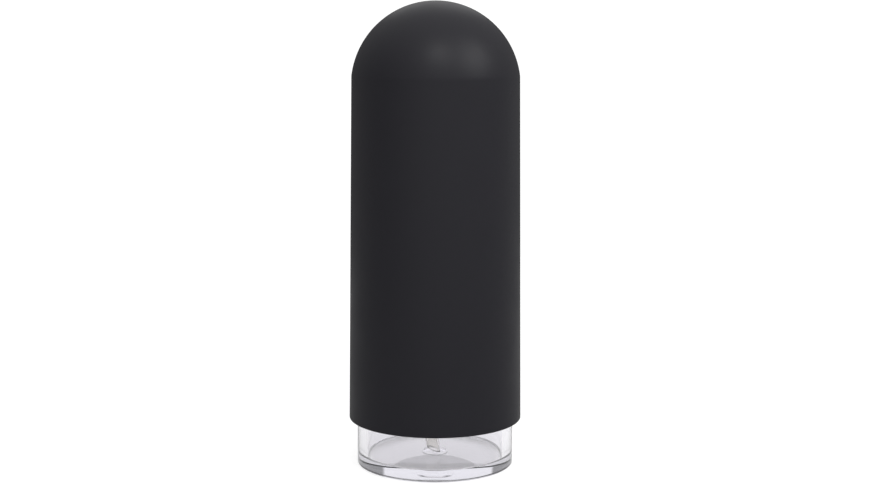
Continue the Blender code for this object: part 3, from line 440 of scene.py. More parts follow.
def matte_abs(colours):
    """ABS moulded against spark-eroded steel: an even, soft matt with a cool black body.

    The real grain is about 0.05 mm wide, too fine to show, and is drawn 0.5 mm wide.
    """
    moulded("spark_eroded_abs", tuple(colours.cover), 0.5 * MM, 0.012 * MM, (0.41, 0.46), 0.10,
            **{"IOR": 1.53, "Specular IOR Level": 0.30})


def satin_pp(colours):
    """Black polypropylene from a plainly finished mould: a waxy satin with faint flow drifts."""
    moulded("satin_pp", tuple(colours.fittings), 0.7 * MM, 0.008 * MM, (0.30, 0.42), 0.20, IOR=1.49)


def natural_pp(colours):
    """Unpigmented polypropylene: milky, and light passes into it and scatters."""
    moulded("natural_pp", tuple(colours.natural), 0.8 * MM, 0.006 * MM, (0.28, 0.40), 0.05,
            **{"IOR": 1.49, "Subsurface Weight": 0.25, "Subsurface Scale": 1.5 * MM})


def tube_pe(colours):
    """Extruded polyethylene: its thin wall lets what lies behind show, a little warmer and blurred."""
    moulded("translucent_pe", tuple(colours.tube), 0.8 * MM, 0.004 * MM, (0.12, 0.16), 0.05,
            **{"IOR": 1.51, "Transmission Weight": 0.97})


TINT_DENSITY = 5.0          # how strongly the clear cup tints what shows through it, per metre


def clear_san(colours):
    """Clear styrene-acrylonitrile: bright and glassy, with the faint waves of thick moulded plastic.

    It turns lilac grey where light goes a long way through it, as along the floor.
    """
    tree, _ = moulded("clear_san", tuple(colours.cup), 14 * MM, 0.01 * MM, (0.0, 0.0), 0.0,
                      **{"IOR": 1.57, "Transmission Weight": 1.0})
    tint = add_node(tree, "ShaderNodeVolumeAbsorption", {
        "Color": tuple(colours.cup_depth), "Density": TINT_DENSITY})
    tree.links.new(tint.outputs["Volume"], tree.nodes["Material Output"].inputs["Volume"])


def foam(colours):
    """Cross-linked polyethylene foam: dull, with cells about 0.4 mm wide open at its cut faces."""
    moulded("pe_foam", tuple(colours.foam), 0.4 * MM, 0.05 * MM, (0.80, 0.95), 0.04)


def rubber(colours):
    """Dark silicone rubber: dull, with a slightly greasy skin."""
    moulded("silicone_rubber", tuple(colours.rubber), 0.5 * MM, 0.008 * MM, (0.45, 0.60), 0.10)


def steel(colours):
    """Drawn stainless wire and ground balls: bright metal whose fine scratches blur its shine."""
    moulded("stainless_steel", tuple(colours.steel), 0.3 * MM, 0.002 * MM, (0.18, 0.30), 0.02,
            Metallic=1.0)


class DispenserPiece:
    """What every operator here shares."""

    bl_options = {"REGISTER"}

    @classmethod
    def sizes(cls, context):
        return context.scene.dispenser_sizes


class DISPENSER_OT_finishes(DispenserPiece, bpy.types.Operator):
    """Materials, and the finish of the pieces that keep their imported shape"""

    bl_idname = "dispenser.finishes"
    bl_label = "Finishes"

    def execute(self, context):
        colours = context.scene.dispenser_colours
        for make in (matte_abs, satin_pp, natural_pp, tube_pe, clear_san, foam, rubber, steel):
            make(colours)
        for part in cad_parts["ball_cage"].material_slots:
            part.material = bpy.data.materials["natural_pp"]
        return {"FINISHED"}


MARK_ROUND = 0.12 * MM          # rounding of the steps at the cup's marks and foot ring
MARK_CLEAR = 4 * MARK_ROUND     # from such a step to the plain surface's nearest ring
MARK_NUB = 0.9 * MM             # radius of the stub in the middle of the gate mark
FLOOR_FLAT = 0.5 * MM           # flat floor between its swelling and its fillet
FLOOR_EDGE = 0.2 * MM           # from the swelling to a ring that keeps that part flat
MARK_RINGS, FLOOR_RINGS, DISH_RINGS = 4, 20, 24


class DISPENSER_OT_cup(DispenserPiece, bpy.types.Operator):
    """The clear cup on its foot ring, with an ejector mark on its floor and a gate mark below"""

    bl_idname = "dispenser.cup"
    bl_label = "Clear cup"

    def execute(self, context):
        sizes = self.sizes(context)
        foot, top, radius = span("reservoir_cup")
        floor, rise = sizes.cup_floor, sizes.cup_rise
        bore_foot = radius - sizes.cup_wall
        bore_top = bore_foot + (top - floor) * math.tan(sizes.cup_draft)
        flat = bore_foot - sizes.cup_fillet - FLOOR_FLAT
        disc, sunk, lip = sizes.floor_mark, sizes.mark_depth, MARK_ROUND

        def swell(reach, drop=0.0, rounding=0.0):
            """The floor's corner at a distance from the axis. It falls along half a cosine wave."""
            return reach, floor + rise * (1 + math.cos(math.pi * reach / flat)) / 2 - drop, rounding

        inside = [swell(r, sunk) for r in np.linspace(0, disc - MARK_CLEAR, MARK_RINGS)]
        outside = [swell(r) for r in np.linspace(disc + MARK_CLEAR, flat, FLOOR_RINGS, endpoint=False)]
        ring = radius - sizes.cup_foot
        gate, depth = sizes.gate_radius, sizes.gate_depth
        inner, step = ring - 2 * lip, sizes.foot_step
        dish = [(r, step + sizes.cup_dish * (1 - (r / inner) ** 2), 0)
                for r in np.linspace(inner - MARK_CLEAR, gate + MARK_CLEAR, DISH_RINGS)]
        hollow = dish[-1][1]
        corners = inside + [swell(disc - lip, sunk, lip), swell(disc, 0.0, lip)] + outside + [
            (flat + FLOOR_EDGE, floor, 0),
            (bore_foot, floor, sizes.cup_fillet),
            (bore_top, top, sizes.cup_round),
            (radius, top, sizes.cup_round),
            (radius, foot, sizes.cup_round),
            (ring, foot, lip),
            (inner, step, lip),
        ] + dish + [
            (gate, hollow, lip),
            (gate - lip, hollow + depth, lip),
            (MARK_NUB + lip, hollow + depth, lip),
            (MARK_NUB, hollow + depth / 3, lip),
            (0, hollow + depth / 3, 0),
        ]
        cup = turned("clear_cup", corners, COLUMNS, closed=False)
        settle(cup, "cup", "reservoir_cup", "clear_cup")
        return {"FINISHED"}


THREAD_FADE = 1 / 8     # turns over which a thread starts and ends


def thread(height, start, sizes, columns):
    """How far a thread stands out of its wall, from 0 to 1, at each point round each ring.

    The thread's middle climbs from start by one pitch a turn. Off its middle it falls in straight
    flanks from its crest's width to its root's, and it fades in and out at its ends.
    """
    stand = np.zeros((len(height), columns))
    for lap in range(math.ceil(sizes.thread_turns)):
        travel = angles(columns)[None] / (2 * np.pi) + lap
        off = np.abs(height[:, None] - start - sizes.thread_pitch * travel)
        flank = (sizes.thread_root / 2 - off) / (sizes.thread_root / 2 - sizes.thread_crest / 2)
        fade = np.minimum(travel, sizes.thread_turns - travel) / THREAD_FADE
        stand = np.maximum(stand, np.clip(flank, 0, 1) * np.clip(fade, 0, 1))
    return stand


def threaded(profile, wall, depth, start, sizes, columns=COLUMNS):
    """The radius round each ring of a profile whose wall of one radius carries a thread.

    The wall's radius grows by depth times the thread's stand, and a negative depth makes it inward.
    """
    on_wall = np.isclose(profile[:, 0], wall)[:, None]
    return profile[:, :1] + depth * on_wall * thread(profile[:, 1], start, sizes, columns)


SEAL_SIDES = 24


class DISPENSER_OT_lid(DispenserPiece, bpy.types.Operator):
    """The lid pressed into the cup, with its threaded neck and its rubber seal"""

    bl_idname = "dispenser.lid"
    bl_label = "Lid and seal"

    def execute(self, context):
        sizes = self.sizes(context)
        plug_foot, neck_top, rim = span("shoulder_lid")
        seal_foot, seal_top, plug = span("lid_seal")
        neck = span("neck_gasket")[2]
        plate = neck_top - sizes.neck_height
        underside = plate - sizes.lid_plate
        groove = plug - (seal_top - seal_foot) - GAP
        groove_foot, groove_top = seal_foot - sizes.seal_gap, seal_top + sizes.seal_gap
        edge, fine = sizes.edge, sizes.edge / 2
        profile = refined(rounded([
            (sizes.neck_bore, neck_top, edge),
            (neck, neck_top, edge),
            (neck, plate, 2 * edge),
            (rim, plate, sizes.lid_round),
            (rim, underside, edge),
            (plug, underside, fine),
            (plug, groove_top, fine),
            (groove, groove_top, fine),
            (groove, groove_foot, fine),
            (plug, groove_foot, fine),
            (plug, plug_foot, edge),
            (groove - sizes.plug_core, plug_foot, edge),
            (groove - sizes.plug_core, underside, 2 * edge),
            (sizes.neck_bore, underside, edge),
        ]), neck)
        radius = threaded(profile, neck, sizes.thread_depth, plate + sizes.thread_lead, sizes)
        lid = skin("threaded_lid", around(radius, profile[:, 1], COLUMNS))
        settle(lid, "lid", "shoulder_lid", "black_fittings")
        section = (seal_top - seal_foot) / 2
        angle = -angles(SEAL_SIDES)
        ring = around(plug - section + section * np.cos(angle),
                      (seal_top + seal_foot) / 2 + section * np.sin(angle), COLUMNS)
        settle(skin("seal_ring", ring), "lid", "lid_seal", "dark_rubber")
        return {"FINISHED"}


FLUTES = 24
FLUTED_COLUMNS = 16 * FLUTES
RUN_GAP = 0.35 * MM     # between two pieces of which one slides or turns


class DISPENSER_OT_collar(DispenserPiece, bpy.types.Operator):
    """The screw collar, with grip flutes outside and a thread inside"""

    bl_idname = "dispenser.collar"
    bl_label = "Screw collar"

    def execute(self, context):
        sizes = self.sizes(context)
        foot, top, wall = span("closure_collar")
        plate = span("shoulder_lid")[1] - sizes.neck_height
        bore = wall - sizes.collar_wall
        neck = span("neck_gasket")[2]
        edge = sizes.edge
        profile = refined(rounded([
            (sizes.collar_hole, top, edge),
            (wall, top, sizes.lid_round),
            (wall, foot, 2 * edge),
            (bore, foot, edge),
            (bore, top - sizes.collar_web, edge),
            (sizes.collar_hole, top - sizes.collar_web, edge),
        ]), bore, wall)
        drop = (sizes.thread_root + sizes.thread_crest) / 2 + GAP
        crest = neck + RUN_GAP
        start = plate + sizes.thread_lead - drop
        radius = threaded(profile, bore, crest - bore, start, sizes, FLUTED_COLUMNS)
        outside = profile[:, :1] > bore + sizes.collar_wall / 2
        run_out = np.clip((top - 2 * sizes.lid_round - profile[:, 1:]) / (4 * edge), 0, 1)
        depth = flute_depth(wall, sizes.flute_radius, sizes.flute_bite)
        radius = radius - outside * np.sqrt(1 - (1 - run_out) ** 2) * depth
        collar = skin("fluted_collar", around(radius, profile[:, 1], FLUTED_COLUMNS))
        settle(collar, "collar", "closure_collar", "black_fittings")
        return {"FINISHED"}


def flute_depth(wall, flute, bite):
    """How deep the round flutes cut into a wall at each angle.

    A flute is a circle whose centre stands flute minus bite outside the wall. Its depth is the wall's
    radius less the distance of the circle's near side, where a line from the axis meets it.
    """
    pitch = 2 * math.pi / FLUTES
    off = angles(FLUTED_COLUMNS)[None] % pitch - pitch / 2
    reach = wall + flute - bite
    aside = reach * np.sin(off)
    near = reach * np.cos(off) - np.sqrt(np.maximum(flute ** 2 - aside ** 2, 0))
    return np.where(np.abs(aside) < flute, np.maximum(wall - near, 0), 0)


class DISPENSER_OT_barrel(DispenserPiece, bpy.types.Operator):
    """The pump's barrel, the bush that guides its stem, and the foam gasket under its flange"""

    bl_idname = "dispenser.barrel"
    bl_label = "Pump barrel"

    def execute(self, context):
        sizes = self.sizes(context)
        edge, fine = sizes.edge, sizes.edge / 2
        foot, top, flange = span("pump_housing")
        bore, outer = sizes.housing_bore, sizes.housing_bore + sizes.housing_wall
        ledge = span("ball_cage")[0] - GAP
        socket_top = foot + sizes.socket_depth
        socket = sizes.tube_radius + GAP
        shelf = bore - sizes.housing_shelf
        barrel = turned("pump_barrel", [
            (bore, top, fine),
            (flange, top, edge),
            (flange, top - sizes.housing_flange, edge),
            (outer, top - sizes.housing_flange, 2 * edge),
            (outer, ledge, 3 * edge),
            (socket + sizes.socket_wall, socket_top, 3 * edge),
            (socket + sizes.socket_wall, foot, edge),
            (socket, foot, edge),
            (socket, socket_top, fine),
            (sizes.valve_hole, socket_top, fine),
            (sizes.valve_hole, socket_top + sizes.valve_web, fine),
            (shelf, ledge, fine),
            (bore, ledge, edge),
        ])
        settle(barrel, "pump", "pump_housing", "natural_plastic")
        foot, top, flange = span("stem_guide")
        seat = foot + sizes.guide_plug
        plate = seat + sizes.guide_flange
        plug = bore - GAP
        guide = turned("guide_bush", [
            (sizes.guide_bore, top, edge),
            (sizes.guide_bore + sizes.guide_hub, top, edge),
            (sizes.guide_bore + sizes.guide_hub, plate, edge),
            (flange, plate, edge),
            (flange, seat, fine),
            (plug, seat, fine),
            (plug, foot, edge),
            (sizes.guide_bore, foot, edge),
        ])
        settle(guide, "pump", "stem_guide", "natural_plastic")
        foot, top, outer = span("neck_gasket")
        gasket = sleeve("foam_gasket", sizes.neck_bore, outer, foot, top, fine, fine)
        settle(gasket, "pump", "neck_gasket", "white_foam")
        return {"FINISHED"}


class DISPENSER_OT_column(DispenserPiece, bpy.types.Operator):
    """The moving column: the piston, the grooved rod and the hollow stem"""

    bl_idname = "dispenser.column"
    bl_label = "Piston and stem"

    def execute(self, context):
        sizes = self.sizes(context)
        edge, fine = sizes.edge, sizes.edge / 2
        foot, top, outer = span("piston")
        bore = sizes.rod_radius + GAP
        hub = bore + sizes.piston_lip
        inner = outer - sizes.piston_lip
        web_foot = (top + foot - sizes.piston_web) / 2
        web_top = (top + foot + sizes.piston_web) / 2
        piston = turned("lipped_piston", [
            (bore, top, fine),
            (hub, top, fine),
            (hub, web_top, edge),
            (inner - sizes.piston_waist, web_top, edge),
            (inner, top, fine),
            (outer, top, fine),
            (outer - sizes.piston_waist, (top + foot) / 2, 4 * edge),
            (outer, foot, fine),
            (inner, foot, fine),
            (inner - sizes.piston_waist, web_foot, edge),
            (hub, web_foot, edge),
            (hub, foot, fine),
            (bore, foot, fine),
        ])
        settle(piston, "piston", "piston", "natural_plastic")
        foot, top, flange = span("piston_rod")
        shoulder = foot + sizes.rod_foot
        profile = refined(rounded([
            (0, top, 0),
            (sizes.rod_radius, top, edge),
            (sizes.rod_radius, shoulder, fine),
            (flange, shoulder, edge),
            (flange, foot, edge),
            (0, foot, 0),
        ]), sizes.rod_radius)
        radius = grooved(profile, shoulder + sizes.rod_groove_start, sizes)
        rod = skin("grooved_rod", around(radius, profile[:, 1], COLUMNS), closed=False)
        settle(rod, "stem", "piston_rod", "natural_plastic")
        foot, top, flare = span("stem")
        mouth = sizes.stem_radius - sizes.stem_lip
        throat_foot = top - sizes.stem_throat_depth
        stem = turned("hollow_stem", [
            (mouth, top, fine),
            (sizes.stem_radius, top, fine),
            (sizes.stem_radius, foot + sizes.stem_flare, edge),
            (flare, foot + sizes.stem_flare, edge),
            (flare, foot, edge),
            (sizes.stem_bore, foot, edge),
            (sizes.stem_bore, throat_foot, fine),
            (sizes.stem_throat, throat_foot + sizes.stem_bore - sizes.stem_throat, fine),
            (sizes.stem_throat, top - mouth + sizes.stem_throat, fine),
        ])
        settle(stem, "stem", "stem", "natural_plastic")
        return {"FINISHED"}


def grooved(profile, start, sizes):
    """The radius round each ring of the rod, with a flat-bottomed groove down two sides.

    Within half a groove's width of the X axis, the radius is at most the groove's floor over the
    cosine of the angle. Elsewhere the cosine isn't used, and is kept off 0. The groove runs out over
    half its width at its lower end.
    """
    angle = angles(COLUMNS)[None]
    radius = np.repeat(profile[:, :1], COLUMNS, axis=1)
    depth = sizes.rod_groove * np.clip((profile[:, 1:] - start) / (sizes.rod_groove / 2), 0, 1)
    floor = (sizes.rod_radius - depth) / np.maximum(np.abs(np.cos(angle)), 0.5)
    inside = np.abs(radius * np.sin(angle)) < sizes.rod_groove / 2
    return np.where(inside, np.minimum(radius, floor), radius)


BALL_RINGS = 32
COIL_STEPS = 40         # rings in each turn of the spring
WIRE_SIDES = 20
WIRE_END = 0.7          # radius of the wire's blunted end over the wire's own


class DISPENSER_OT_valves(DispenserPiece, bpy.types.Operator):
    """The two valve balls and the return spring"""

    bl_idname = "dispenser.valves"
    bl_label = "Balls and spring"

    def execute(self, context):
        sizes = self.sizes(context)
        for node, name in (("inlet_ball", "inlet_ball_fine"), ("outlet_ball", "outlet_ball_fine")):
            foot, top, radius = span(node)
            angle = math.pi * np.arange(BALL_RINGS + 1) / BALL_RINGS
            middle = (foot + top) / 2
            rings = around(radius * np.sin(angle), middle + radius * np.cos(angle))
            settle(skin(name, rings, closed=False), node, node, "spring_steel")
        foot = span("ball_cage")[1] + GAP
        rod_foot, _, rod_radius = span("piston_rod")
        wire = sizes.spring_wire / 2
        top = rod_foot - GAP
        share = np.linspace(0, 1, int(COIL_STEPS * sizes.spring_turns) + 1)
        angle = 2 * np.pi * sizes.spring_turns * share
        coil = rod_radius - wire
        rise = top - foot - 2 * wire
        side = np.stack([np.cos(angle), np.sin(angle), 0 * angle], axis=1)
        centres = coil * side + np.array([0, 0, foot + wire]) + np.outer(rise * share, (0, 0, 1))
        run = 2 * np.pi * coil * sizes.spring_turns
        ways = np.stack([-run * np.sin(angle), run * np.cos(angle), rise + 0 * angle], axis=1)
        ways /= np.linalg.norm(ways, axis=1)[:, None]
        ends = [0, 0, *range(len(share)), -1, -1]
        radii = np.full(len(ends), wire)
        radii[[0, -1]] = 0
        radii[[1, -2]] = WIRE_END * wire
        rings = along(centres[ends], ways[ends], radii, side[ends], WIRE_SIDES)
        spring = skin("wire_spring", rings, closed=False)
        settle(spring, "pump", "return_spring", "spring_steel")
        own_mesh(spring)
        return {"FINISHED"}


TUBE_STEP = 0.8 * MM    # between the rings of the dip tube
CUT_REACH = 7 * MM      # height over which the slant of the tube's foot dies out
BOW_PEAK = 27 / 4       # 1 over the most that a share times the square of the rest can be


class DISPENSER_OT_dip_tube(DispenserPiece, bpy.types.Operator):
    """The dip tube, bowed and leaning a little, and cut at a slant over the cup's floor"""

    bl_idname = "dispenser.dip_tube"
    bl_label = "Dip tube"

    def execute(self, context):
        sizes = self.sizes(context)
        low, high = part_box("dip_tube")
        straight = span("pump_housing")[0]
        radius, bore = sizes.tube_radius, sizes.tube_radius - sizes.tube_wall
        edge = sizes.edge / 2
        profile = divided(rounded([
            (radius, high.z, edge),
            (radius, low.z, edge),
            (bore, low.z, edge),
            (bore, high.z, edge),
        ]), TUBE_STEP)
        share = np.clip((profile[:, 1:] - low.z) / (straight - low.z), 0, 1)
        rings = around(profile[:, 0], profile[:, 1])
        heel = (radius - rings[..., 0]) * math.tan(sizes.tube_cut)
        rings[..., 2] += heel * np.clip(1 - (rings[..., 2] - low.z) / CUT_REACH, 0, 1)
        aside = sizes.tube_bow * BOW_PEAK * share * (1 - share) ** 2
        rings[..., 0] -= aside + sizes.tube_offset * (1 - share) ** 2
        rings[..., 1] -= sizes.tube_lean * (1 - share) ** 2
        settle(skin("bowed_dip_tube", rings), "pump", "dip_tube", "natural_plastic", "translucent_pe")
        return {"FINISHED"}


SPOKES = 4
SPOKE_RINGS, SPOKE_SIDES = 17, 40
SPOKE_FLARE = 0.8 * MM  # how much half a spoke's width grows towards its ends
SPOKE_POWER = 6         # of the superellipse that is a spoke's section


class DISPENSER_OT_head(DispenserPiece, bpy.types.Operator):
    """The head on the stem with its spout boss, and the spoked carrier that centres it in the cover"""

    bl_idname = "dispenser.head"
    bl_label = "Head and carrier"

    def execute(self, context):
        sizes = self.sizes(context)
        edge, fine = sizes.edge, sizes.edge / 2
        foot, top, outer = span("actuator_head")
        stem_top = span("stem")[1]
        socket = sizes.stem_radius + GAP
        shoulder = foot + sizes.head_height
        chamber = sizes.head_chamber
        head = turned("valve_head", [
            (0, top, 0),
            (sizes.head_spigot, top, 2 * edge),
            (sizes.head_spigot, shoulder, edge),
            (outer, shoulder, 2 * edge),
            (outer, foot, 2 * edge),
            (socket, foot, edge),
            (socket, stem_top + GAP, fine),
            (chamber, stem_top + GAP, fine),
            (chamber, foot + sizes.head_roof, edge),
            (0, foot + sizes.head_roof, 0),
        ], closed=False)
        settle(head, "cover", "actuator_head", "black_fittings")
        height = spout_height(sizes)
        start, end = (chamber + outer) / 2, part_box("actuator_head")[1].y
        plug_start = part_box("spout")[0].y
        bore = sizes.spout_radius + GAP
        boss = swept("spout_boss", [
            (sizes.spout_bore, start, 0),
            (bore + sizes.boss_wall, start, 0),
            (bore + sizes.boss_wall, end, 2 * edge),
            (bore, end, edge),
            (bore, plug_start - GAP, fine),
            (sizes.spout_bore, plug_start - GAP, fine),
        ], lambda reach: (np.stack([0 * reach, reach, height + 0 * reach], axis=1),
                          np.stack([0 * reach, 1 + 0 * reach, 0 * reach], axis=1)))
        settle(boss, "cover", "actuator_head", "black_fittings")
        foot, top, outer = span("head_carrier")
        bore = sizes.head_spigot + GAP
        inner, low = outer - sizes.carrier_ring, top - sizes.carrier_rim
        parts = [
            sleeve("carrier_hub", bore, bore + sizes.carrier_hub, foot, top, edge, 2 * edge),
            sleeve("carrier_ring", inner, outer, low, top, 2 * edge, 2 * edge, COLUMNS),
        ]
        start, end = bore + sizes.carrier_hub / 2, inner + sizes.carrier_ring / 2
        middle = top - sizes.carrier_rim / 2
        parts += [carrier_spoke(index, start, end, middle, sizes) for index in range(SPOKES)]
        for part in parts:
            settle(part, "cover", "head_carrier", "black_fittings")
        return {"FINISHED"}


def carrier_spoke(index, start, end, middle, sizes):
    """One spoke: a bar with a superellipse for its section, flared where it meets the hub and the ring.

    The flare grows with the fourth power of the distance from the spoke's middle.
    """
    angle = 2 * math.pi * (index + 0.5) / SPOKES
    way = np.array([math.cos(angle), math.sin(angle), 0])
    side = np.array([-math.sin(angle), math.cos(angle), 0])
    share = np.concatenate([[0], np.linspace(0, 1, SPOKE_RINGS), [1]])
    flare = SPOKE_FLARE * (2 * share - 1) ** 4
    across, up = np.cos(angles(SPOKE_SIDES)), np.sin(angles(SPOKE_SIDES))
    half_width = (sizes.spoke_width / 2 + flare)[:, None]
    half_height = sizes.carrier_rim / 2 - sizes.ledge_drop
    radii = (np.abs(across / half_width) ** SPOKE_POWER
             + np.abs(up / half_height) ** SPOKE_POWER) ** (-1 / SPOKE_POWER)
    radii[[0, -1]] = 0
    centres = np.outer(start + (end - start) * share, way) + np.array([0, 0, middle])
    rings = along(centres, np.tile(way, (len(share), 1)), radii, side, SPOKE_SIDES)
    return skin(f"carrier_spoke_{index}", rings, closed=False)


def spout_height(sizes):
    """Height of the spout's straight part."""
    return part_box("spout")[1].z - sizes.spout_radius


SWEPT_STEP = 1.0 * MM   # between the rings of a piece that follows the spout
TIP_COLUMNS = 64


def swept(name, corners, path, columns=FEW_COLUMNS):
    """A piece whose rounded profile of radius and distance is carried along a path, out and back.

    Path gives the place and the direction at each distance. The X axis is square to the path.
    """
    profile = divided(rounded(corners), SWEPT_STEP)
    centres, ways = path(profile[:, 1])
    return skin(name, along(centres, ways, profile[:, 0], (1, 0, 0), columns))


class DISPENSER_OT_spout(DispenserPiece, bpy.types.Operator):
    """The bent spout and the soft tip in its mouth"""

    bl_idname = "dispenser.spout"
    bl_label = "Spout and tip"

    def execute(self, context):
        sizes = self.sizes(context)
        edge, fine = sizes.edge, sizes.edge / 2
        height = spout_height(sizes)
        rim, _, rim_radius = span("cover_shell")
        bend_start = rim_radius - (height - rim) * math.tan(sizes.cover_draft) + sizes.spout_standoff
        radius, bend = sizes.spout_bend_radius, sizes.spout_bend

        def path(reach):
            """Straight along Y, then round the bend, then straight on."""
            swung = np.clip((reach - bend_start) / radius, 0, bend)
            straight = np.minimum(reach, bend_start)
            beyond = np.maximum(reach - bend_start - radius * bend, 0)
            place = np.stack([0 * reach,
                              straight + radius * np.sin(swung) + beyond * math.cos(bend),
                              height - radius * (1 - np.cos(swung)) - beyond * math.sin(bend)], axis=1)
            return place, np.stack([0 * reach, np.cos(swung), -np.sin(swung)], axis=1)

        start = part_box("spout")[0].y
        mouth = bend_start + radius * bend + sizes.spout_end
        spout = swept("bent_spout", [
            (sizes.spout_bore, start, fine),
            (sizes.spout_radius, start, edge),
            (sizes.spout_radius, mouth, 2 * edge),
            (sizes.spout_bore, mouth, fine),
        ], path)
        settle(spout, "cover", "spout", "black_fittings")
        seat = mouth + GAP
        plug = sizes.spout_bore - GAP
        flange = sizes.spout_radius - sizes.tip_inset
        tip = swept("soft_tip", [
            (sizes.tip_orifice, seat - sizes.tip_plug, fine),
            (plug, seat - sizes.tip_plug, edge),
            (plug, seat, fine),
            (flange, seat, fine),
            (flange, seat + sizes.tip_flange, 1.6 * edge),
            (sizes.tip_orifice, seat + sizes.tip_flange, edge),
        ], path, TIP_COLUMNS)
        settle(tip, "cover", "spout_tip", "dark_rubber")
        return {"FINISHED"}


DOME_ROWS, INNER_DOME_ROWS = 48, 40
SKIRT_ROWS_ABOVE, SKIRT_ROWS_BELOW = 5, 40      # of the skirt, above and below the spout's hole
RIM_BAND = 2 * MM               # bottom of the skirt, which has no rows but the rim's own
RIM_ROUND_OUTER = 0.45 * MM
RIM_ROUND_INNER = 0.35 * MM
HOLE_REACH = 12                 # cells each way from the hole's middle that make room for it
HOLE_CELLS = 5                  # cells each way that the hole takes the place of
HOLE_ROUND = 0.3 * MM           # rounding of the hole's edges
HOLE_STEPS = 3                  # steps of that rounding


class DISPENSER_OT_cover(DispenserPiece, bpy.types.Operator):
    """The matte cover: a drafted skirt under a domed cap, with the spout's hole at its back"""

    bl_idname = "dispenser.cover"
    bl_label = "Matte cover"

    def execute(self, context):
        sizes = self.sizes(context)
        rim, top, rim_radius = span("cover_shell")
        wall, slope = sizes.cover_wall, math.tan(sizes.cover_draft)
        foot = top - sizes.dome_rise
        ledge = foot - sizes.ledge_drop

        def skirt(height):
            """Outer radius of the skirt at a height."""
            return rim_radius - (height - rim) * slope

        dome = (skirt(foot) ** 2 + sizes.dome_rise ** 2) / (2 * sizes.dome_rise)
        inner_dome = dome - sizes.dome_wall
        centre = top - dome
        outer_arc = math.acos((foot - centre) / dome) * np.arange(DOME_ROWS) / DOME_ROWS
        inner_arc = (math.acos((ledge - centre) / inner_dome)
                     * np.arange(INNER_DOME_ROWS, -1, -1) / INNER_DOME_ROWS)
        hole = spout_height(sizes)
        step = skirt(hole) * 2 * math.pi / COLUMNS
        block = hole + step * np.arange(HOLE_REACH, -HOLE_REACH - 1, -1)
        above = np.linspace(foot, block[0], SKIRT_ROWS_ABOVE)[:-1]
        band = rim + RIM_BAND
        below = np.linspace(block[-1], band, SKIRT_ROWS_BELOW)[1:]
        outer = np.concatenate([above, block, below])
        inner = outer[::-1][outer[::-1] < ledge - step / 4]
        lip = rounded([
            (skirt(band), band, 0),
            (skirt(rim), rim, RIM_ROUND_OUTER),
            (skirt(rim) - wall, rim, RIM_ROUND_INNER),
            (skirt(band) - wall, band, 0),
        ])[1:-1]
        profile = np.concatenate([
            np.stack([dome * np.sin(outer_arc), centre + dome * np.cos(outer_arc)], axis=1),
            np.stack([skirt(outer), outer], axis=1),
            lip,
            np.stack([skirt(inner) - wall, inner], axis=1),
            [(skirt(ledge) - wall, ledge)],
            np.stack([inner_dome * np.sin(inner_arc), centre + inner_dome * np.cos(inner_arc)], axis=1),
        ])
        rings = around(profile[:, 0], profile[:, 1], COLUMNS)
        outer_row = len(outer_arc) + len(above)
        inner_row = len(outer_arc) + len(outer) + len(lip) + len(below)
        points, faces = pierced(rings, sizes.spout_hole, hole, [
            (outer_row, 1, skirt),
            (inner_row, -1, lambda height: skirt(height) - wall),
        ])
        settle(surface("matte_cover", points, faces), "cover", "cover_shell", "black_cover")
        return {"FINISHED"}


def pierced(rings, radius, height, walls):
    """Points and faces of a turned wall with a round hole through it at +Y.

    A square of cells is left out, and the points round it move towards the hole's circle: one that is
    m cells from the middle keeps (m - cells) / (reach - cells) of its own place, and takes the rest from
    the circle. Quarter-round rings of points then turn the edges, and cross the wall. Walls names, for
    the outer and the inner wall, the square's first row, its direction, and its radius at a height.
    """
    columns = rings.shape[1]
    middle = columns // 4
    steps = np.arange(-HOLE_REACH, HOLE_REACH + 1)
    square = np.maximum(*np.abs(np.meshgrid(steps, steps)))
    share = np.clip((square - HOLE_CELLS) / (HOLE_REACH - HOLE_CELLS), 0, 1)
    quads = ring_faces(rings, closed=False)
    kept = np.ones(quads.shape[:2], bool)
    index = np.arange(rings.shape[0] * columns).reshape(-1, columns)
    side = np.arange(-HOLE_CELLS, HOLE_CELLS)
    end = np.full(len(side), HOLE_CELLS)
    down = np.concatenate([-end, side, end, -side])
    right = np.concatenate([side, end, -side, -end])
    loops = []
    for row, direction, wall in walls:
        block = np.ix_(row + steps + HOLE_REACH, middle + steps)
        x, z = rings[block][..., 0], rings[block][..., 2] - height
        angle = np.arctan2(z, x)
        x = (1 - share) * (radius + HOLE_ROUND) * np.cos(angle) + share * x
        z = (1 - share) * (radius + HOLE_ROUND) * np.sin(angle) + share * z + height
        rings[block] = np.stack([x, np.sqrt(wall(z) ** 2 - x ** 2), z], axis=-1)
        inside = slice(row + HOLE_REACH - HOLE_CELLS, row + HOLE_REACH + HOLE_CELLS)
        kept[inside, middle - HOLE_CELLS:middle + HOLE_CELLS] = False
        loops.append(index[row + HOLE_REACH + direction * down, middle + right])
    points = rings.reshape(-1, 3)
    outer, inner = points[loops[0]], points[loops[1]]
    angle = np.arctan2(outer[:, 2] - height, outer[:, 0])
    turns = math.pi / 2 * np.arange(1, HOLE_STEPS + 1) / HOLE_STEPS
    extra = []
    for start, sign, order in ((outer, -1, turns), (inner, 1, turns[::-1])):
        for swung in order:
            reach = radius + HOLE_ROUND * (1 - math.sin(swung))
            deep = start[:, 1] + sign * HOLE_ROUND * (1 - math.cos(swung))
            extra.append(np.stack([reach * np.cos(angle), deep, height + reach * np.sin(angle)], axis=1))
    count = len(outer)
    added = [len(points) + count * k + np.arange(count) for k in range(len(extra))]
    numbers = [loops[0], *added, loops[1]]
    across = [np.stack([a, b, np.roll(b, -1), np.roll(a, -1)], axis=1)
              for a, b in zip(numbers, numbers[1:])]
    return np.concatenate([points, *extra]), [*without_folds(quads[kept]), np.concatenate(across)]


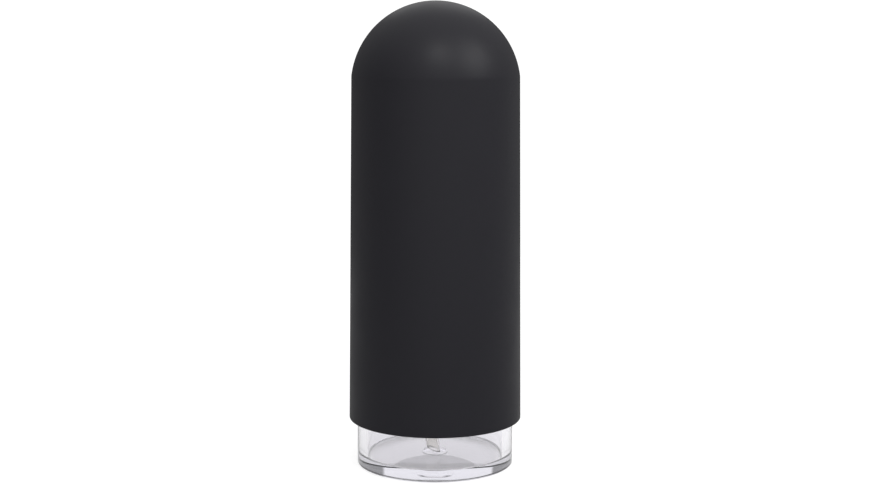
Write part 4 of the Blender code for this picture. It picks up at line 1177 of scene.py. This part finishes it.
BOARD_RADIUS = 0.6
BOARD_MIDDLE, BOARD_RINGS = 0.05, 12    # radius of the board's first ring, and how many there are
AIR_GAP = 0.02 * MM     # between the board and the cup, which doesn't wet it
BOARD_LIFT = 0.75       # light that the white board adds of itself where the camera sees it
CLEAR_LIFT = 0.55       # what it adds where clear plastic shows it
CLEAR_BOUNCES = 16      # enough for light to leave the cup's thick floor again
CAMERA_PLACE = (-0.00016, -0.6887, 0.1998)
CAMERA_PITCH = math.radians(8.422)
CAMERA_ROLL = math.radians(0.12)
CAMERA_LENS = 65.55     # focal length in millimetres
CAMERA_NEAR = 0.01      # nearest distance that the camera shows
LAMP_AIM = (0.0, 0.0, 0.1)
LAMPS = (               # name, place, width in metres and power in watts
    ("right_softbox", (0.65, -0.35, 0.65), 0.5, 2.0),
    ("front_softbox", (0.10, -0.75, 0.90), 0.5, 1.6),
    ("back_softbox", (0.0, 0.80, 0.70), 0.7, 0.7),
)
ROOM = {"X": (0.52, 0.32), "Y": (0.10, 0.76), "Z": (0.89, 0.0)}     # brightness ahead and behind
ROOM_BLEND = 0.2        # part of a direction over which one wall's brightness passes to the other's
PANEL_SWING = math.radians(-3.1)    # from +Y to the middle of the white wall behind the object
PANEL_AZIMUTH = math.radians(35.7)  # how far the wall reaches to each side of its middle
PANEL_TOP = math.radians(35)        # how high the wall reaches
PANEL_BLEND = 0.02                  # half the width of its soft edge, as part of a direction
PANEL_WHITE = 1.00
PANEL_DIM = 0.30        # the dim room round it
BACKDROP = 1.1          # white that the camera sees behind the object


class DISPENSER_OT_stage(DispenserPiece, bpy.types.Operator):
    """White board, soft light and the camera"""

    bl_idname = "dispenser.stage"
    bl_label = "Studio"

    def execute(self, context):
        scene = context.scene
        radius = np.concatenate([[0.0], np.geomspace(BOARD_MIDDLE, BOARD_RADIUS, BOARD_RINGS)])
        board = skin("studio_board", around(radius, 0 * radius - AIR_GAP), closed=False)
        board.data.materials.append(white_board(scene.dispenser_colours))
        scene.world = surround()
        for name, place, size, power in LAMPS:
            data = bpy.data.lights.new(name, "AREA")
            data.shape = "DISK"
            data.size = size
            data.energy = power
            lamp = bpy.data.objects.new(name, data)
            lamp.location = place
            lamp.rotation_euler = facing(place, LAMP_AIM)
            scene.collection.objects.link(lamp)
        data = bpy.data.cameras.new("photo_camera")
        data.lens = CAMERA_LENS
        data.clip_start = CAMERA_NEAR
        camera = bpy.data.objects.new("photo_camera", data)
        camera.location = CAMERA_PLACE
        camera.rotation_mode = "ZXY"
        camera.rotation_euler = (math.pi / 2 - CAMERA_PITCH, 0.0, CAMERA_ROLL)
        scene.collection.objects.link(camera)
        scene.camera = camera
        scene.view_settings.view_transform = "Standard"
        scene.view_settings.look = "None"
        scene.cycles.max_bounces = CLEAR_BOUNCES
        scene.cycles.transmission_bounces = CLEAR_BOUNCES
        scene.cycles.glossy_bounces = CLEAR_BOUNCES
        return {"FINISHED"}


def facing(place, aim):
    """The angles that turn a lamp at a place to shine at aim."""
    way = np.subtract(aim, place)
    return math.acos(-way[2] / np.linalg.norm(way)), 0.0, math.atan2(way[1], way[0]) - math.pi / 2


def white_board(colours):
    """White matt card: even and bright, with a trace of tooth 2 mm wide.

    What it adds of itself where the camera or clear plastic shows it lets it stay white behind the
    object without lighting the cover from below, as an overexposed board does.
    """
    tree, shader = moulded("white_board", tuple(colours.board), 2 * MM, 0.01 * MM, (0.75, 0.75), 0.0,
                           **{"Specular IOR Level": 0.2, "Emission Color": (1.0, 1.0, 1.0, 1.0)})
    through = add_node(tree, "ShaderNodeMath", {0: seen_ray(tree), 1: CLEAR_LIFT}, operation="MULTIPLY")
    direct = add_node(tree, "ShaderNodeLightPath").outputs["Is Camera Ray"]
    lift = add_node(tree, "ShaderNodeMath", {0: direct, 1: BOARD_LIFT, 2: through.outputs[0]},
                    operation="MULTIPLY_ADD")
    tree.links.new(lift.outputs["Value"], shader.inputs["Emission Strength"])
    return bpy.data.materials["white_board"]


def seen_ray(tree):
    """A socket that is 1 on rays that clear plastic passes on or mirrors."""
    ray = add_node(tree, "ShaderNodeLightPath").outputs
    return add_node(tree, "ShaderNodeMath", {0: ray["Is Transmission Ray"], 1: ray["Is Singular Ray"]},
                    operation="MAXIMUM").outputs[0]


def brightness(tree, way, walls):
    """A socket with the room's brightness along a direction: for each axis, the square of the
    direction's part along it times the brightness of the wall that it points at."""
    total = None
    for axis, (ahead, behind) in walls.items():
        part = way.outputs[axis]
        wall = add_node(tree, "ShaderNodeMapRange", {
            "Value": part, "From Min": -ROOM_BLEND, "From Max": ROOM_BLEND,
            "To Min": behind, "To Max": ahead}, interpolation_type="SMOOTHSTEP")
        square = add_node(tree, "ShaderNodeMath", {0: part, 1: part}, operation="MULTIPLY")
        share = add_node(tree, "ShaderNodeMath", {0: square.outputs[0], 1: wall.outputs[0]},
                         operation="MULTIPLY").outputs[0]
        total = share if total is None else add_node(
            tree, "ShaderNodeMath", {0: total, 1: share}, operation="ADD").outputs[0]
    return total


def backlight(tree, way):
    """A socket with what clear plastic shows along a direction: a white wall behind the object, in a
    dim room. The wall is where the direction's part towards its middle, over its level length, is more
    than the cosine of its reach to each side, and the upward part is less than the sine of its top."""
    flat = add_node(tree, "ShaderNodeCombineXYZ", {"X": way.outputs["X"], "Y": way.outputs["Y"]})
    level = add_node(tree, "ShaderNodeVectorMath", {0: flat.outputs["Vector"]}, operation="NORMALIZE")
    middle = (math.sin(PANEL_SWING), math.cos(PANEL_SWING), 0.0)
    ahead = add_node(tree, "ShaderNodeVectorMath", {0: level.outputs["Vector"], 1: middle},
                     operation="DOT_PRODUCT")
    white = None
    for part, edge, soft in ((ahead.outputs["Value"], math.cos(PANEL_AZIMUTH), PANEL_BLEND),
                             (way.outputs["Z"], math.sin(PANEL_TOP), -PANEL_BLEND)):
        inside = add_node(tree, "ShaderNodeMapRange", {
            "Value": part, "From Min": edge - soft, "From Max": edge + soft},
            interpolation_type="SMOOTHSTEP").outputs["Result"]
        white = inside if white is None else add_node(
            tree, "ShaderNodeMath", {0: white, 1: inside}, operation="MULTIPLY").outputs[0]
    return add_node(tree, "ShaderNodeMapRange", {
        "Value": white, "To Min": PANEL_DIM, "To Max": PANEL_WHITE}).outputs["Result"]


def surround():
    """The studio round the object: what lights it, and the white that the camera sees behind it."""
    world = bpy.data.worlds.new("studio")
    world.use_nodes = True
    tree = world.node_tree
    tree.nodes.clear()
    place = add_node(tree, "ShaderNodeTexCoord").outputs["Generated"]
    way = add_node(tree, "ShaderNodeSeparateXYZ", {"Vector": place})
    lit = add_node(tree, "ShaderNodeMix", {
        "Factor": seen_ray(tree), "A": brightness(tree, way, ROOM), "B": backlight(tree, way)})
    direct = add_node(tree, "ShaderNodeLightPath").outputs["Is Camera Ray"]
    seen = add_node(tree, "ShaderNodeMix", {"Factor": direct, "A": lit.outputs[0], "B": BACKDROP})
    light = add_node(tree, "ShaderNodeBackground", {
        "Color": (1.0, 1.0, 1.0, 1.0), "Strength": seen.outputs[0]})
    add_node(tree, "ShaderNodeOutputWorld", {"Surface": light.outputs["Background"]})
    return world


class DISPENSER_PT_sidebar(bpy.types.Panel):
    """Lists the dispenser's operators"""

    bl_idname = "DISPENSER_PT_sidebar"
    bl_label = "Soap dispenser"
    bl_space_type = "VIEW_3D"
    bl_region_type = "UI"
    bl_category = "Dispenser"

    def draw(self, context):
        for operator in OPERATORS:
            self.layout.operator(operator.bl_idname)


OPERATORS = (
    DISPENSER_OT_finishes,
    DISPENSER_OT_cup,
    DISPENSER_OT_lid,
    DISPENSER_OT_collar,
    DISPENSER_OT_barrel,
    DISPENSER_OT_column,
    DISPENSER_OT_valves,
    DISPENSER_OT_dip_tube,
    DISPENSER_OT_head,
    DISPENSER_OT_spout,
    DISPENSER_OT_cover,
    DISPENSER_OT_stage,
)
CLASSES = (DispenserSizes, DispenserColours, *OPERATORS, DISPENSER_PT_sidebar)


def register():
    for kind in CLASSES:
        bpy.utils.register_class(kind)
    bpy.types.Scene.dispenser_sizes = PointerProperty(type=DispenserSizes)
    bpy.types.Scene.dispenser_colours = PointerProperty(type=DispenserColours)


def unregister():
    del bpy.types.Scene.dispenser_colours
    del bpy.types.Scene.dispenser_sizes
    for kind in reversed(CLASSES):
        bpy.utils.unregister_class(kind)


def main():
    register()
    bpy.ops.dispenser.finishes()
    bpy.ops.dispenser.cup()
    bpy.ops.dispenser.lid()
    bpy.ops.dispenser.collar()
    bpy.ops.dispenser.barrel()
    bpy.ops.dispenser.column()
    bpy.ops.dispenser.valves()
    bpy.ops.dispenser.dip_tube()
    bpy.ops.dispenser.head()
    bpy.ops.dispenser.spout()
    bpy.ops.dispenser.cover()
    bpy.ops.dispenser.stage()


if __name__ == "__main__":
    main()
